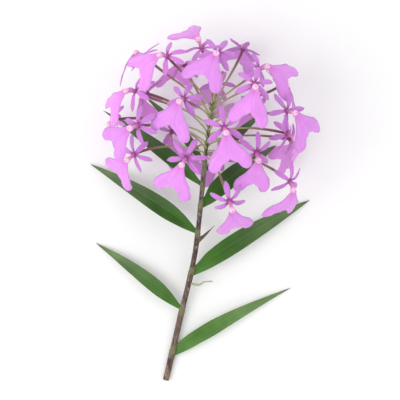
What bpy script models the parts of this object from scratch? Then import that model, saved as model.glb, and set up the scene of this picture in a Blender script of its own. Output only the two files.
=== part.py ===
"""One cut flowering stem of a reed-stemmed epidendrum orchid, lying on a table.

The cane runs along +Y from its cut end to the flower head, +X is to the right seen from
above, and +Z is up from the table. The cane, its sheaths and the pedicels are one piece.
Each leaf, each open floret and each bud is a piece of its own, set 0.3 mm off the cane.
"""

import math
import random

import bmesh
import bpy
import numpy as np
from mathutils import Matrix, Vector

MM = 0.001
SEAT_GAP = 0.3 * MM

# The cane, drawn through hand-chosen points from the cut end to the tip of the rachis
CANE_ROUTE = [
    Vector(point) * MM
    for point in ((0, 0, 2.3), (11, 48, 5), (22.5, 98, 15), (28, 146, 33), (32, 184, 49), (37, 214, 59))
]
CANE_RADIUS_CUT = 2.3 * MM
CANE_RADIUS_HEAD = 1.45 * MM
RACHIS_RADIUS_TIP = 0.9 * MM
RACHIS_START_Y = 168 * MM
SHEATH_SWELL = 0.45 * MM
SHEATH_LIP = 1.4 * MM
CANE_BEVEL_RESOLUTION = 2

# Leaves stand on alternate sides of the cane: how far along it, the length and width of
# the blade, its angle up from straight out, how far its end stands above the table, the
# share of its width that it has where it clasps the cane, and how it narrows to its end,
# from 1 for straight to 2 for well rounded
LEAF_THICKNESS = 0.8 * MM
LEAF_ROWS = 12
LEAF_FOLD = math.radians(17)
LEAF_CLASP = 0.16
LEAVES = {
    "leaf_1_right": (25, 101, 12.0, 28, 0.05, 0.85, 1.25),
    "leaf_2_left": (57, 82, 11.5, 37, 0.05, 0.32, 1.6),
    "leaf_3_right": (87, 105, 15.0, 31, 0.05, 0.6, 1.9),
    "leaf_4_left": (117, 97, 14.0, 32, 0.3, 0.32, 1.6),
    "leaf_5_right": (139, 72, 15.0, 38, 4.0, 0.6, 1.9),
    "leaf_6_left": (153, 94, 11.0, 37, 12.0, 0.32, 1.6),
    "leaf_7_right": (164, 62, 8.5, 44, 48.0, 0.45, 1.6),
    "leaf_8_left": (170, 66, 8.0, 48, 32.0, 0.4, 1.6),
}

# The florets keep clear of these leaves. The last two grow up between their stalks.
LEAVES_BELOW_HEAD = 6

# A side shoot and a thin air root stand at two of the cane's nodes
SIDE_SHOOT = ((25.0, 109, 18), (31, 114.5, 20.5), (38, 121, 21.5))
AIR_ROOT = ((18.5, 76, 10), (25, 75, 11.5), (31, 77.5, 11), (37, 77, 8))

# The head: florets on a loose ball round the rachis, pressed flat where the table is
FLORET_COUNT = 27
HEAD_CENTRE = Vector((35, 199, 57)) * MM
HEAD_AXIS = Vector((0.15, 0.94, 0.28)).normalized()
HEAD_RADIUS_TOP = 57 * MM
HEAD_RADIUS_LOW = 64 * MM
HEAD_LOOSENESS = 0.18
POLAR_TOP = math.radians(26)
POLAR_LOW = math.radians(126)
GOLDEN_ANGLE = -math.radians(137.508)
SPIRAL_START = math.radians(70)
FLORET_SPACING = 36 * MM
FLORET_ABOVE_TABLE = 9 * MM
SETTLE_ROUNDS = 300
LEAF_CLEARANCE = 22 * MM

# The upper florets turn their faces to the light, and their lips fan out from one pole
UP_TO_LIGHT = 0.8
LIT_FROM = 0.3
LIP_POLE = Vector((0.15, 0.55, 0.82)).normalized()
FLORET_SEED = 2821

# A floret: five narrow tepals behind a column that carries the forked lip
TEPAL_LENGTH = 14.2 * MM
TEPAL_WIDTH = 4.2 * MM
TEPAL_THICKNESS = 0.66 * MM
TEPAL_ROOT_SHARE = 0.3
TEPAL_WIDEST = 0.64
TEPAL_ANGLES = [math.radians(angle) for angle in (90, 28, 152, -36, 216)]
TEPAL_BLUNT = 0.3
TEPAL_ROWS = (0.0, 0.4, 0.8, 1.0)
LIP_LENGTH = 24.5 * MM
LIP_SPREAD = 11.0 * MM
LIP_SPLAY = 1.2
LIP_CLAW_WIDTH = 4.9 * MM
LIP_LOBE_WIDTH = 9.4 * MM
LIP_BLUNT = 0.4
LIP_THICKNESS = 0.7 * MM
LIP_NOTCH = 0.6
LIP_ROWS = (0.0, 0.3, 0.6, 0.82, 0.95, 1.0)
LIP_ROOT = Vector((0, -4.4, 5.6)) * MM
COLUMN_RADIUS_BASE = 2.1 * MM
COLUMN_RADIUS_TIP = 1.5 * MM
COLUMN_BACK = -1.0 * MM
COLUMN_FRONT = 6.4 * MM
COLUMN_DROOP = 4.4 * MM
CALLUS_RADIUS = 2.3 * MM

# Pedicels: thin at the rachis, swelling to the ovary behind the floret
PEDICEL_RADIUS = 0.65 * MM
OVARY_RADIUS = 1.0 * MM
PEDICEL_STEPS = 6
BUD_COUNT = 5
BUD_LENGTH = 8.5 * MM
BUD_RADIUS = 1.5 * MM
BUD_STALK = 14 * MM
BUD_LEAN = 0.24

Z_AXIS = Vector((0, 0, 1))


def clear_scene():
    for obj in list(bpy.data.objects):
        bpy.data.objects.remove(obj, do_unlink=True)


def principled(name, colour, roughness):
    material = bpy.data.materials.new(name)
    material.use_nodes = True
    shader = material.node_tree.nodes["Principled BSDF"]
    shader.inputs["Base Color"].default_value = (*colour, 1.0)
    shader.inputs["Roughness"].default_value = roughness
    shader.inputs["Metallic"].default_value = 0.0
    material.diffuse_color = (*colour, 1.0)
    return material


def add_object(name, data, collection, material=None):
    obj = bpy.data.objects.new(name, data)
    collection.objects.link(obj)
    if material:
        data.materials.clear()
        data.materials.append(material)
    return obj


def on_route(route, share):
    """The point at this share, 0 to 1, of a smooth curve through all the route's points."""
    spans = len(route) - 1
    place = min(max(share, 0.0), 1.0) * spans
    span = min(int(place), spans - 1)
    t = place - span
    before = route[span - 1] if span else 2 * route[0] - route[1]
    start, end = route[span], route[span + 1]
    after = route[span + 2] if span + 2 <= spans else 2 * end - start
    return 0.5 * (
        2 * start
        + (end - before) * t
        + (2 * before - 5 * start + 4 * end - after) * t**2
        + (3 * start - before - 3 * end + after) * t**3
    )


def cane_point(along_y):
    """Where the cane's centre line is at this distance along Y, and its direction there."""
    low, high = 0.0, 1.0
    for _ in range(40):
        middle = (low + high) / 2
        if on_route(CANE_ROUTE, middle).y < along_y:
            low = middle
        else:
            high = middle
    ahead = on_route(CANE_ROUTE, min(high + 0.01, 1.0))
    behind = on_route(CANE_ROUTE, max(low - 0.01, 0.0))
    return on_route(CANE_ROUTE, high), (ahead - behind).normalized()


def cane_radius(along_y):
    if along_y > RACHIS_START_Y:
        share = (along_y - RACHIS_START_Y) / (CANE_ROUTE[-1].y - RACHIS_START_Y)
        return CANE_RADIUS_HEAD + (RACHIS_RADIUS_TIP - CANE_RADIUS_HEAD) * share
    share = along_y / RACHIS_START_Y
    return CANE_RADIUS_CUT + (CANE_RADIUS_HEAD - CANE_RADIUS_CUT) * share


def cane_stations():
    """Distances along Y and radii: each sheath widens up to its mouth, then steps in."""
    stations = [(0.0, CANE_RADIUS_CUT)]
    start = 0.0
    for node, *_ in LEAVES.values():
        mouth = node * MM
        for share in (0.35, 0.7, 1.0):
            along = start + (mouth - start) * share
            stations.append((along, cane_radius(along) + SHEATH_SWELL * share**2))
        start = mouth + SHEATH_LIP
        stations.append((start, cane_radius(start)))
    for share in (0.33, 0.66, 1.0):
        along = start + (CANE_ROUTE[-1].y - start) * share
        stations.append((along, cane_radius(along)))
    return stations


def tube(name, points, radii, collection, bevel_resolution):
    """A closed mesh tube through the points, with a radius at each."""
    curve = bpy.data.curves.new(name, "CURVE")
    curve.dimensions = "3D"
    curve.bevel_depth = 1.0
    curve.bevel_resolution = bevel_resolution
    curve.use_fill_caps = True
    spline = curve.splines.new("POLY")
    spline.points.add(len(points) - 1)
    for knot, point, radius in zip(spline.points, points, radii):
        knot.co = (*point, 1.0)
        knot.radius = radius
    drawn = bpy.data.objects.new(name + "_curve", curve)
    collection.objects.link(drawn)
    mesh = mesh_of(drawn)
    bpy.data.objects.remove(drawn, do_unlink=True)
    return add_object(name, mesh, collection)


def mesh_of(obj):
    """The object's evaluated mesh as new data, its caps welded, its faces facing out."""
    bpy.context.view_layer.update()
    evaluated = obj.evaluated_get(bpy.context.evaluated_depsgraph_get())
    mesh = bpy.data.meshes.new_from_object(evaluated)
    mesh.transform(obj.matrix_world)
    shape = bmesh.new()
    shape.from_mesh(mesh)
    bmesh.ops.remove_doubles(shape, verts=shape.verts, dist=0.005 * MM)
    bmesh.ops.recalc_face_normals(shape, faces=shape.faces)
    shape.to_mesh(mesh)
    shape.free()
    return mesh


def sheet(rows, across, place):
    """An open mesh of len(rows) by across + 1 points, placed by a function of (u, v)."""
    shape = bmesh.new()
    bmesh.ops.create_grid(shape, x_segments=across, y_segments=len(rows) - 1, size=1.0)
    for vert in shape.verts:
        row = rows[round((vert.co.y + 1) / 2 * (len(rows) - 1))]
        vert.co = place(row, vert.co.x)
    return shape


def thick_blade(name, shape, thickness, collection):
    """Makes an object of the open sheet, split into triangles and given a thickness."""
    bmesh.ops.remove_doubles(shape, verts=shape.verts, dist=0.02 * MM)
    bmesh.ops.triangulate(shape, faces=shape.faces)
    bmesh.ops.recalc_face_normals(shape, faces=shape.faces)
    mesh = bpy.data.meshes.new(name)
    shape.to_mesh(mesh)
    shape.free()
    obj = add_object(name, mesh, collection)
    solidify = obj.modifiers.new("thickness", "SOLIDIFY")
    solidify.thickness = thickness
    solidify.offset = 0.0
    return obj


def join_all(base, collection, solver="EXACT"):
    """The base object's mesh joined with every object of the collection, which is emptied."""
    union = base.modifiers.new("join", "BOOLEAN")
    union.operation = "UNION"
    union.solver = solver
    union.operand_type = "COLLECTION"
    union.collection = collection
    mesh = mesh_of(base)
    for obj in list(collection.objects):
        bpy.data.objects.remove(obj, do_unlink=True)
    bpy.data.objects.remove(base, do_unlink=True)
    return mesh


def tepal_half_width(u):
    """A tepal's half width: it grows from its root to the widest point and rounds to its end."""
    if u < TEPAL_WIDEST:
        share = TEPAL_ROOT_SHARE + (1 - TEPAL_ROOT_SHARE) * math.sin(math.pi / 2 * u / TEPAL_WIDEST)
    else:
        past = (u - TEPAL_WIDEST) / (1 - TEPAL_WIDEST)
        share = TEPAL_BLUNT + (1 - TEPAL_BLUNT) * math.sqrt(1 - past**2)
    return TEPAL_WIDTH / 2 * share


def leaf_frame(along_y, side, rise):
    """The leaf's root on the cane's side, the way it grows, and the way across it."""
    centre, direction = cane_point(along_y)
    outward = Vector((side * math.cos(rise), math.sin(rise), 0.0))
    square = (outward - direction * outward.dot(direction)).normalized()
    root = centre + square * (cane_radius(along_y) + SHEATH_SWELL + SEAT_GAP)
    across = Vector((-outward.y, outward.x, 0.0)) * side
    return root, outward, across, direction


def leaf_point(leaf, side, u, v):
    """A point of the leaf's middle surface: u from root to tip, v from edge to edge."""
    node, length, width, rise, end_height, base, narrowing = leaf
    root, outward, across, along_cane = leaf_frame(node * MM, side, math.radians(rise))
    clasp = max(0.0, 1 - u / LEAF_CLASP)
    across = (across * (1 - clasp) + along_cane * clasp).normalized()
    if u < 0.3:
        half = width / 2 * (base + (1 - base) * math.sin(math.pi / 2 * u / 0.3))
    else:
        half = width / 2 * (1 - ((u - 0.3) / 0.7) ** narrowing)
    fold = LEAF_FOLD * (1.9 - 1.3 * min(u * 2.2, 1.0)) * (1 - clasp)
    arch = 4 * u * (1 - u)
    middle = root + outward * length * MM * u + across * arch * 2.2 * MM
    end = (end_height * MM + LEAF_THICKNESS / 2) - root.z
    middle.z += end * u**1.2 + arch * 4.5 * MM
    reach = half * MM * v
    return middle + across * reach * math.cos(fold) + Z_AXIS * abs(reach) * math.sin(fold)


def leaf_side(name):
    return 1 if name.endswith("right") else -1


def build_leaves(collection, material):
    rows = [row / LEAF_ROWS for row in range(LEAF_ROWS + 1)]
    for name, leaf in LEAVES.items():
        side = leaf_side(name)
        shape = sheet(rows, 2, lambda u, v: leaf_point(leaf, side, u, v))
        blade = thick_blade(name, shape, LEAF_THICKNESS, collection)
        blade.data.materials.append(material)


def floret_targets():
    """Points spread evenly over the head's ball, in a spiral from its foot to its top."""
    side = HEAD_AXIS.cross(Z_AXIS).normalized()
    front = side.cross(HEAD_AXIS)
    dice = random.Random(FLORET_SEED)
    targets = []
    for index in range(FLORET_COUNT):
        share = (index + 0.5) / FLORET_COUNT
        height = math.cos(POLAR_LOW) + (math.cos(POLAR_TOP) - math.cos(POLAR_LOW)) * share
        ring = math.sqrt(1 - height**2)
        turn = SPIRAL_START + index * GOLDEN_ANGLE
        direction = HEAD_AXIS * height + (side * math.cos(turn) + front * math.sin(turn)) * ring
        radius = HEAD_RADIUS_LOW + (HEAD_RADIUS_TOP - HEAD_RADIUS_LOW) * share
        radius *= 1 + dice.uniform(-HEAD_LOOSENESS, HEAD_LOOSENESS)
        targets.append(HEAD_CENTRE + direction * radius)
    return np.array(targets)


def obstacles():
    """Points along the leaves and the cane that the florets keep clear of."""
    points = [cane_point(along * MM)[0] for along in range(100, 176, 8)]
    for name, leaf in list(LEAVES.items())[:LEAVES_BELOW_HEAD]:
        points += [leaf_point(leaf, leaf_side(name), step / 8, 0.0) for step in range(9)]
    return np.array(points)


def settle_florets():
    """The floret points after they push each other, the leaves and the table away."""
    targets, fixed = floret_targets(), obstacles()
    points = targets.copy()
    centre = np.array(HEAD_CENTRE)
    radii = np.linalg.norm(targets - centre, axis=1)
    for _ in range(SETTLE_ROUNDS):
        apart = points[:, None] - points[None]
        distance = np.linalg.norm(apart, axis=2) + np.eye(FLORET_COUNT)
        short = np.clip(FLORET_SPACING - distance, 0, None) * (1 - np.eye(FLORET_COUNT))
        points += 0.3 * (apart / distance[..., None] * short[..., None]).sum(axis=1)
        away = points[:, None] - fixed[None]
        distance = np.linalg.norm(away, axis=2)
        short = np.clip(LEAF_CLEARANCE - distance, 0, None)
        points += 0.5 * (away / distance[..., None] * short[..., None]).sum(axis=1)
        out = points - centre
        length = np.linalg.norm(out, axis=1)
        points += 0.15 * out * ((radii - length) / length)[:, None]
        points[:, 2] = np.maximum(points[:, 2], FLORET_ABOVE_TABLE)
    return [Vector(point) for point in points]


def floret_frame(point, dice):
    """The floret's matrix: its face out from the head and to the light, its lip fanned outward."""
    out = (point - HEAD_CENTRE).normalized()
    lean = Vector([dice.uniform(-0.16, 0.16) for _ in range(3)])
    lit = min(max(out.z + LIT_FROM, 0.0) * 2, 1.0)
    face = (out + Z_AXIS * UP_TO_LIGHT * lit + lean).normalized()
    up = (LIP_POLE - face * LIP_POLE.dot(face)).normalized()
    turned = Matrix.Rotation(dice.uniform(-0.35, 0.35), 3, face) @ up
    right = turned.cross(face)
    return Matrix.Translation(point) @ Matrix((right, turned, face)).transposed().to_4x4()


def tepal_point(habit, u, v):
    """A tepal's middle surface, growing along +Y of its own frame, its front to +Z."""
    half = tepal_half_width(u)
    along = (0.7 * MM + TEPAL_LENGTH * habit["size"] * u) * math.cos(habit["reflex"] * u)
    lift = 1.2 * MM * math.sin(math.pi * min(u * 1.6, 1.0))
    lift -= TEPAL_LENGTH * math.sin(habit["reflex"]) * u**2
    return Vector((v * half, along, lift - 0.5 * MM * v * v * math.sin(math.pi * u)))


def lobe_half_width(u):
    """The half width of one side of the lip: a narrow claw, a broad lobe and a blunt end."""
    claw, lobe = LIP_CLAW_WIDTH / 4, LIP_LOBE_WIDTH / 2
    if u < LIP_NOTCH:
        return claw + (lobe - claw) * (u / LIP_NOTCH) ** 2
    share = (u - LIP_NOTCH) / (1 - LIP_NOTCH)
    return lobe * (LIP_BLUNT + (1 - LIP_BLUNT) * math.sqrt(1 - share**3.5))


def lip_point(habit, side, u, v):
    """Half the lip: its lobe splays to its own side past the notch on the middle line."""
    spread, length = LIP_SPREAD * habit["spread"], LIP_LENGTH * habit["size"]
    half = lobe_half_width(u)
    centre = Vector((LIP_CLAW_WIDTH / 4 + spread * u**LIP_SPLAY, -length * u, 0.0))
    ahead = Vector((LIP_SPLAY * spread * u ** (LIP_SPLAY - 1), -length, 0.0)).normalized()
    point = centre + Vector((-ahead.y, ahead.x, 0.0)) * half * v
    if u <= LIP_NOTCH:
        outer = centre.x - ahead.y * half
        point.x = outer * (v + 1) / 2
    arch = 1.3 * MM * math.sin(math.pi * min(u * 1.5, 1.0))
    point.z = arch - habit["sag"] * LIP_LENGTH * u**2 - 0.08 * point.x
    return LIP_ROOT + Vector((side * point.x, point.y, point.z))


def floret_habit(dice):
    return {
        "size": dice.uniform(0.94, 1.05),
        "spread": dice.uniform(0.85, 1.15),
        "sag": dice.uniform(0.10, 0.32),
        "reflex": dice.uniform(0.05, 0.45),
    }


def tepal_sheets(habit, dice):
    """The five tepals' middle surfaces, each turned to its own place round the column."""
    sheets = []
    for angle in TEPAL_ANGLES:
        own = dict(habit, reflex=habit["reflex"] + dice.uniform(-0.12, 0.12))
        turn = Matrix.Rotation(angle - math.pi / 2 + dice.uniform(-0.08, 0.08), 3, "Z")
        sheets.append(sheet(TEPAL_ROWS, 2, lambda u, v: turn @ tepal_point(own, u, v)))
    return sheets


def lip_sheet(habit):
    """Both halves of the lip's middle surface in one mesh."""
    lip = bmesh.new()
    for side in (1, -1):
        half = sheet(LIP_ROWS, 1, lambda u, v: lip_point(habit, side, u, v))
        spare = bpy.data.meshes.new("half_lip")
        half.to_mesh(spare)
        half.free()
        lip.from_mesh(spare)
        bpy.data.meshes.remove(spare)
    return lip


def floret_mesh(name, habit, dice, collection):
    """Column, callus, five tepals and the forked lip as one mesh in the floret's frame."""
    operands = bpy.data.collections.new(name + "_petals")
    collection.children.link(operands)
    for number, shape in enumerate(tepal_sheets(habit, dice)):
        thick_blade(f"{name}_tepal_{number}", shape, TEPAL_THICKNESS, operands)
    thick_blade(name + "_lip", lip_sheet(habit), LIP_THICKNESS, operands)
    callus = bmesh.new()
    bmesh.ops.create_uvsphere(callus, u_segments=6, v_segments=3, radius=CALLUS_RADIUS)
    bmesh.ops.translate(callus, verts=callus.verts, vec=LIP_ROOT + Vector((0, 0.3, 0.5)) * MM)
    mesh = bpy.data.meshes.new(name + "_callus")
    callus.to_mesh(mesh)
    callus.free()
    add_object(name + "_callus", mesh, operands)
    column = bmesh.new()
    bmesh.ops.create_cone(
        column,
        cap_ends=True,
        segments=6,
        radius1=COLUMN_RADIUS_BASE,
        radius2=COLUMN_RADIUS_TIP,
        depth=COLUMN_FRONT - COLUMN_BACK,
    )
    for vert in column.verts:
        vert.co.z += (COLUMN_FRONT + COLUMN_BACK) / 2
        vert.co.y -= COLUMN_DROOP * max(0.0, vert.co.z / COLUMN_FRONT)
    mesh = bpy.data.meshes.new(name + "_column")
    column.to_mesh(mesh)
    column.free()
    base = add_object(name + "_column", mesh, collection)
    joined = join_all(base, operands)
    bpy.data.collections.remove(operands)
    return joined


def build_florets(collection, material):
    """Makes the florets and returns each one's matrix."""
    frames = []
    for index, point in enumerate(settle_florets()):
        dice = random.Random(FLORET_SEED + index)
        frame = floret_frame(point, dice)
        habit = floret_habit(dice)
        name = f"floret_{index + 1:02d}"
        floret = add_object(name, floret_mesh(name, habit, dice, collection), collection, material)
        lowest = min((frame @ vert.co).z for vert in floret.data.vertices)
        if lowest < 1.0 * MM:
            frame.translation.z -= lowest
        floret.matrix_world = frame
        frames.append(frame)
    return frames


def bezier(start, leave, arrive, end, t):
    s = 1 - t
    return start * s**3 + leave * (3 * s * s * t) + arrive * (3 * s * t * t) + end * t**3


def pedicel_route(root, frame):
    """From the rachis, up a little along it, then out and into the back of the floret."""
    face = frame.to_3x3() @ Z_AXIS
    end = frame @ Vector((0, 0, COLUMN_BACK - SEAT_GAP))
    reach = (end - root).length
    leave = root + (HEAD_AXIS * 0.5 + (end - root).normalized()).normalized() * reach * 0.35
    arrive = end - face * reach * 0.32
    return [bezier(root, leave, arrive, end, step / PEDICEL_STEPS) for step in range(PEDICEL_STEPS + 1)]


def build_cane(frames, bud_frames, collection, material):
    """The cane, rachis, side shoot, air root and all the pedicels, joined as one piece."""
    operands = bpy.data.collections.new("pedicels")
    collection.children.link(operands)
    stations = cane_stations()
    cane = tube(
        "cane_core",
        [cane_point(along)[0] for along, _ in stations],
        [radius for _, radius in stations],
        collection,
        CANE_BEVEL_RESOLUTION,
    )
    first, last = RACHIS_START_Y + 4 * MM, CANE_ROUTE[-1].y - 3 * MM
    for index, frame in enumerate(frames):
        root, _ = cane_point(first + (last - first) * index / (len(frames) - 1))
        points = pedicel_route(root, frame)
        shares = [step / PEDICEL_STEPS for step in range(PEDICEL_STEPS + 1)]
        radii = [PEDICEL_RADIUS + (OVARY_RADIUS - PEDICEL_RADIUS) * share**2 for share in shares]
        tube(f"pedicel_{index}", points, radii, operands, 1)
    for index, frame in enumerate(bud_frames):
        end = frame @ Vector((0, 0, -SEAT_GAP))
        root, _ = cane_point(CANE_ROUTE[-1].y - 2 * MM)
        tube(f"bud_stalk_{index}", [root, (root + end) / 2, end], [PEDICEL_RADIUS] * 3, operands, 1)
    for name, route in (("side_shoot", SIDE_SHOOT), ("air_root", AIR_ROOT)):
        points = [Vector(point) * MM for point in route]
        radii = [(1.1 - 0.8 * step / (len(points) - 1)) * MM for step in range(len(points))]
        tube(name, points, radii, operands, 1)
    add_object("cane", join_all(cane, operands), collection, material)
    bpy.data.collections.remove(operands)


def bud_frames():
    """The unopened buds stand round the rachis's tip, leaning out from the head's axis."""
    side = HEAD_AXIS.cross(Z_AXIS).normalized()
    front = side.cross(HEAD_AXIS)
    frames = []
    for index in range(BUD_COUNT):
        turn = index * GOLDEN_ANGLE
        lean = (side * math.cos(turn) + front * math.sin(turn)) * BUD_LEAN
        direction = (HEAD_AXIS + lean).normalized()
        foot = CANE_ROUTE[-1] + direction * BUD_STALK * (1 - 0.1 * index)
        frames.append(Matrix.Translation(foot) @ direction.to_track_quat("Z", "Y").to_matrix().to_4x4())
    return frames


def build_buds(frames, collection, material):
    for index, frame in enumerate(frames):
        shape = bmesh.new()
        bmesh.ops.create_uvsphere(shape, u_segments=8, v_segments=6, radius=1.0)
        for vert in shape.verts:
            share = (vert.co.z + 1) / 2
            narrow = BUD_RADIUS * (0.75 + 0.5 * share * (1 - share) * 2)
            vert.co = Vector((vert.co.x * narrow, vert.co.y * narrow, share * BUD_LENGTH))
        mesh = bpy.data.meshes.new(f"bud_{index + 1}")
        shape.to_mesh(mesh)
        shape.free()
        bud = add_object(f"bud_{index + 1}", mesh, collection, material)
        bud.matrix_world = frame


def centre_on_table(collection):
    """Puts the middle of the whole flower's footprint at the origin."""
    bpy.context.view_layer.update()
    graph = bpy.context.evaluated_depsgraph_get()
    corners = []
    for obj in collection.objects:
        evaluated = obj.evaluated_get(graph)
        corners += [evaluated.matrix_world @ vert.co for vert in evaluated.data.vertices]
    low = Vector([min(corner[axis] for corner in corners) for axis in range(3)])
    high = Vector([max(corner[axis] for corner in corners) for axis in range(3)])
    shift = Vector(((low.x + high.x) / 2, (low.y + high.y) / 2, low.z))
    for obj in collection.objects:
        obj.matrix_world = Matrix.Translation(-shift) @ obj.matrix_world


def shade_round(collection):
    for obj in collection.objects:
        obj.data.shade_smooth()
        obj.data.set_sharp_from_angle(angle=math.radians(40))


def main():
    clear_scene()
    collection = bpy.data.collections.new("epidendrum_flower")
    bpy.context.scene.collection.children.link(collection)
    green = principled("leaf_green", (0.055, 0.15, 0.03), 0.42)
    brown = principled("cane_purple_brown", (0.12, 0.05, 0.04), 0.55)
    lilac = principled("floret_lilac", (0.78, 0.34, 0.80), 0.5)
    pale = principled("bud_pink_green", (0.62, 0.42, 0.40), 0.5)
    build_leaves(collection, green)
    frames = build_florets(collection, lilac)
    tips = bud_frames()
    build_buds(tips, collection, pale)
    build_cane(frames, tips, collection, brown)
    shade_round(collection)
    centre_on_table(collection)


if __name__ == "__main__":
    main()
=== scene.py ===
"""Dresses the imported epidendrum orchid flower, and sets its table, light and camera.

The fine florets, leaves, cane, flower stalks and buds stand on the same rules as the solids
that they replace, so each lies where its solid lies. Lengths are in metres and the flower lies
as it is packed: +Y from the cut end to the head, +X to the right, +Z up from the table.
"""

import functools
import math
import random

import bpy
import numpy as np
from mathutils import Matrix, Vector, noise


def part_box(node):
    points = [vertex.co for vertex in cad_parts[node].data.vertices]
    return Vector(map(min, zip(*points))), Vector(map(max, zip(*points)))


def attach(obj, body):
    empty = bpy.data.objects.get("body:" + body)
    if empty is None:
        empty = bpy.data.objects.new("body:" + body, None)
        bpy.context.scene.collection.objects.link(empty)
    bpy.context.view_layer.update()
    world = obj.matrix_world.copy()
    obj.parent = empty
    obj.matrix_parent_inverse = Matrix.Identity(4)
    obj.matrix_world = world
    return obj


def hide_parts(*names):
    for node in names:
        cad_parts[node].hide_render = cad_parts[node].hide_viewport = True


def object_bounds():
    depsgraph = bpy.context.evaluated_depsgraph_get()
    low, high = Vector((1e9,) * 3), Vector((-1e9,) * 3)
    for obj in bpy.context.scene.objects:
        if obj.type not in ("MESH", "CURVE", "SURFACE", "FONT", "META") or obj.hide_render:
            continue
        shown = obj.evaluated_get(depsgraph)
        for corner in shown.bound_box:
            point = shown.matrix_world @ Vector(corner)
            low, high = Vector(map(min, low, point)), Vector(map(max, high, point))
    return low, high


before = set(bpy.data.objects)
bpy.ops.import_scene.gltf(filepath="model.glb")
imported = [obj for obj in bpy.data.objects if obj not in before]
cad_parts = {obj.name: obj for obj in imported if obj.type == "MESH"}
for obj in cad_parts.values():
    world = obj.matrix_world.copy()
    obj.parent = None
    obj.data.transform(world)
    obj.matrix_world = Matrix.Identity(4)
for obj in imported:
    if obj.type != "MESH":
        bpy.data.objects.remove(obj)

bl_info = {
    "name": "Epidendrum Orchid Flower",
    "version": (1, 0, 0),
    "blender": (4, 5, 0),
    "location": "3D View > Sidebar > Orchid",
    "description": "Builds a cut reed-stemmed epidendrum: florets, leaves, cane, buds and its table",
    "category": "Add Mesh",
}

CAD_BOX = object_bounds()
MM = 0.001
Z_AXIS = Vector((0, 0, 1))

# The rule that the solids stand on: the cane's route, its girth and its leaves
SEAT_GAP = 0.3 * MM
CANE_ROUTE = [
    Vector(point) * MM
    for point in ((0, 0, 2.3), (11, 48, 5), (22.5, 98, 15), (28, 146, 33), (32, 184, 49), (37, 214, 59))
]
CANE_RADIUS_CUT = 2.3 * MM
CANE_RADIUS_HEAD = 1.45 * MM
RACHIS_RADIUS_TIP = 0.9 * MM
RACHIS_START_Y = 168 * MM
SHEATH_SWELL = 0.45 * MM
SHEATH_SLANT = 1.1 * MM
CANE_SIDES = 28
LEAF_FOLD = math.radians(17)
LEAF_CLASP = 0.16
LEAF_WIDEST = 0.3
LEAF_ARCH = 4.5 * MM
LEAF_BEND = 2.2 * MM
LEAF_SOLID_THICKNESS = 0.8 * MM
MIDRIB_ROUNDING = 0.012

# Each leaf: how far along the cane, its length and width, its angle up from straight out, how far
# its end stands above the table, its share of width at the cane, how it narrows to its end, from
# 1 for straight to 2 for well rounded, and how light it is, 0 to 1
LEAVES = {
    "leaf_1_right": (25, 101, 12.0, 28, 0.05, 0.85, 1.25, 0.78),
    "leaf_2_left": (57, 82, 11.5, 37, 0.05, 0.32, 1.6, 0.5),
    "leaf_3_right": (87, 105, 15.0, 31, 0.05, 0.6, 1.9, 0.26),
    "leaf_4_left": (117, 97, 14.0, 32, 0.3, 0.32, 1.6, 0.14),
    "leaf_5_right": (139, 72, 15.0, 38, 4.0, 0.6, 1.9, 0.06),
    "leaf_6_left": (153, 94, 11.0, 37, 12.0, 0.32, 1.6, 0.14),
    "leaf_7_right": (164, 62, 8.5, 44, 48.0, 0.45, 1.6, 0.06),
    "leaf_8_left": (170, 66, 8.0, 48, 32.0, 0.4, 1.6, 0.1),
}
# The florets keep clear of these leaves. The last two grow up between their stalks.
LEAVES_BELOW_HEAD = 6
SIDE_SHOOT = ((25.0, 109, 18), (31, 114.5, 20.5), (38, 121, 21.5))
AIR_ROOT = ((18.5, 76, 10), (25, 75, 11.5), (31, 77.5, 11), (37, 77, 8))

# The rule for the head
FLORET_COUNT = 27
HEAD_CENTRE = Vector((35, 199, 57)) * MM
HEAD_AXIS = Vector((0.15, 0.94, 0.28)).normalized()
HEAD_SIDE = HEAD_AXIS.cross(Z_AXIS).normalized()
HEAD_FRONT = HEAD_SIDE.cross(HEAD_AXIS)
HEAD_RADIUS_TOP = 57 * MM
HEAD_RADIUS_LOW = 64 * MM
HEAD_LOOSENESS = 0.18
POLAR_TOP = math.radians(26)
POLAR_LOW = math.radians(126)
GOLDEN_ANGLE = -math.radians(137.508)
SPIRAL_START = math.radians(70)
FLORET_SPACING = 36 * MM
FLORET_ABOVE_TABLE = 9 * MM
LEAF_CLEARANCE = 22 * MM
SETTLE_ROUNDS = 300
PUSH_OFF_FLORETS = 0.3
PUSH_OFF_LEAVES = 0.5
PULL_TO_BALL = 0.15
UP_TO_LIGHT = 0.8
LIT_FROM = 0.3
FLORET_LEAN = 0.16
FLORET_TURN = 0.35
LIP_POLE = Vector((0.15, 0.55, 0.82)).normalized()
FLORET_SEED = 2821

# The rule for a floret
TEPAL_ROOT_SHARE = 0.3
TEPAL_WIDEST = 0.64
TEPAL_ANGLES = [math.radians(angle) for angle in (90, 28, 152, -36, 216)]
LIP_SPLAY = 1.2
LIP_NOTCH = 0.6
LIP_ROOT = Vector((0, -4.4, 5.6)) * MM
COLUMN_RADIUS_BASE = 2.1 * MM
COLUMN_RADIUS_TIP = 1.5 * MM
COLUMN_BACK = -1.0 * MM
COLUMN_FRONT = 6.4 * MM
COLUMN_DROOP = 4.4 * MM
CALLUS_RADIUS = 2.3 * MM
# Where each part's material stands among a floret's; a blade's back takes the next one
TEPAL_SLOT, LIP_SLOT, COLUMN_SLOT, BEAD_SLOT = 0, 2, 4, 5
TEPAL_ARCH = 1.2 * MM
LIP_ARCH = 1.3 * MM

# The rule for the stalks and buds
PEDICEL_RADIUS = 0.65 * MM
OVARY_RADIUS = 1.0 * MM
BUD_COUNT = 5
BUD_LENGTH = 8.5 * MM
BUD_RADIUS = 1.5 * MM
BUD_STALK = 14 * MM
BUD_LEAN = 0.24

TABLE_REACH = 3.0
LIGHT_AIM = Vector((0, 0.03, 0.03))

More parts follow.
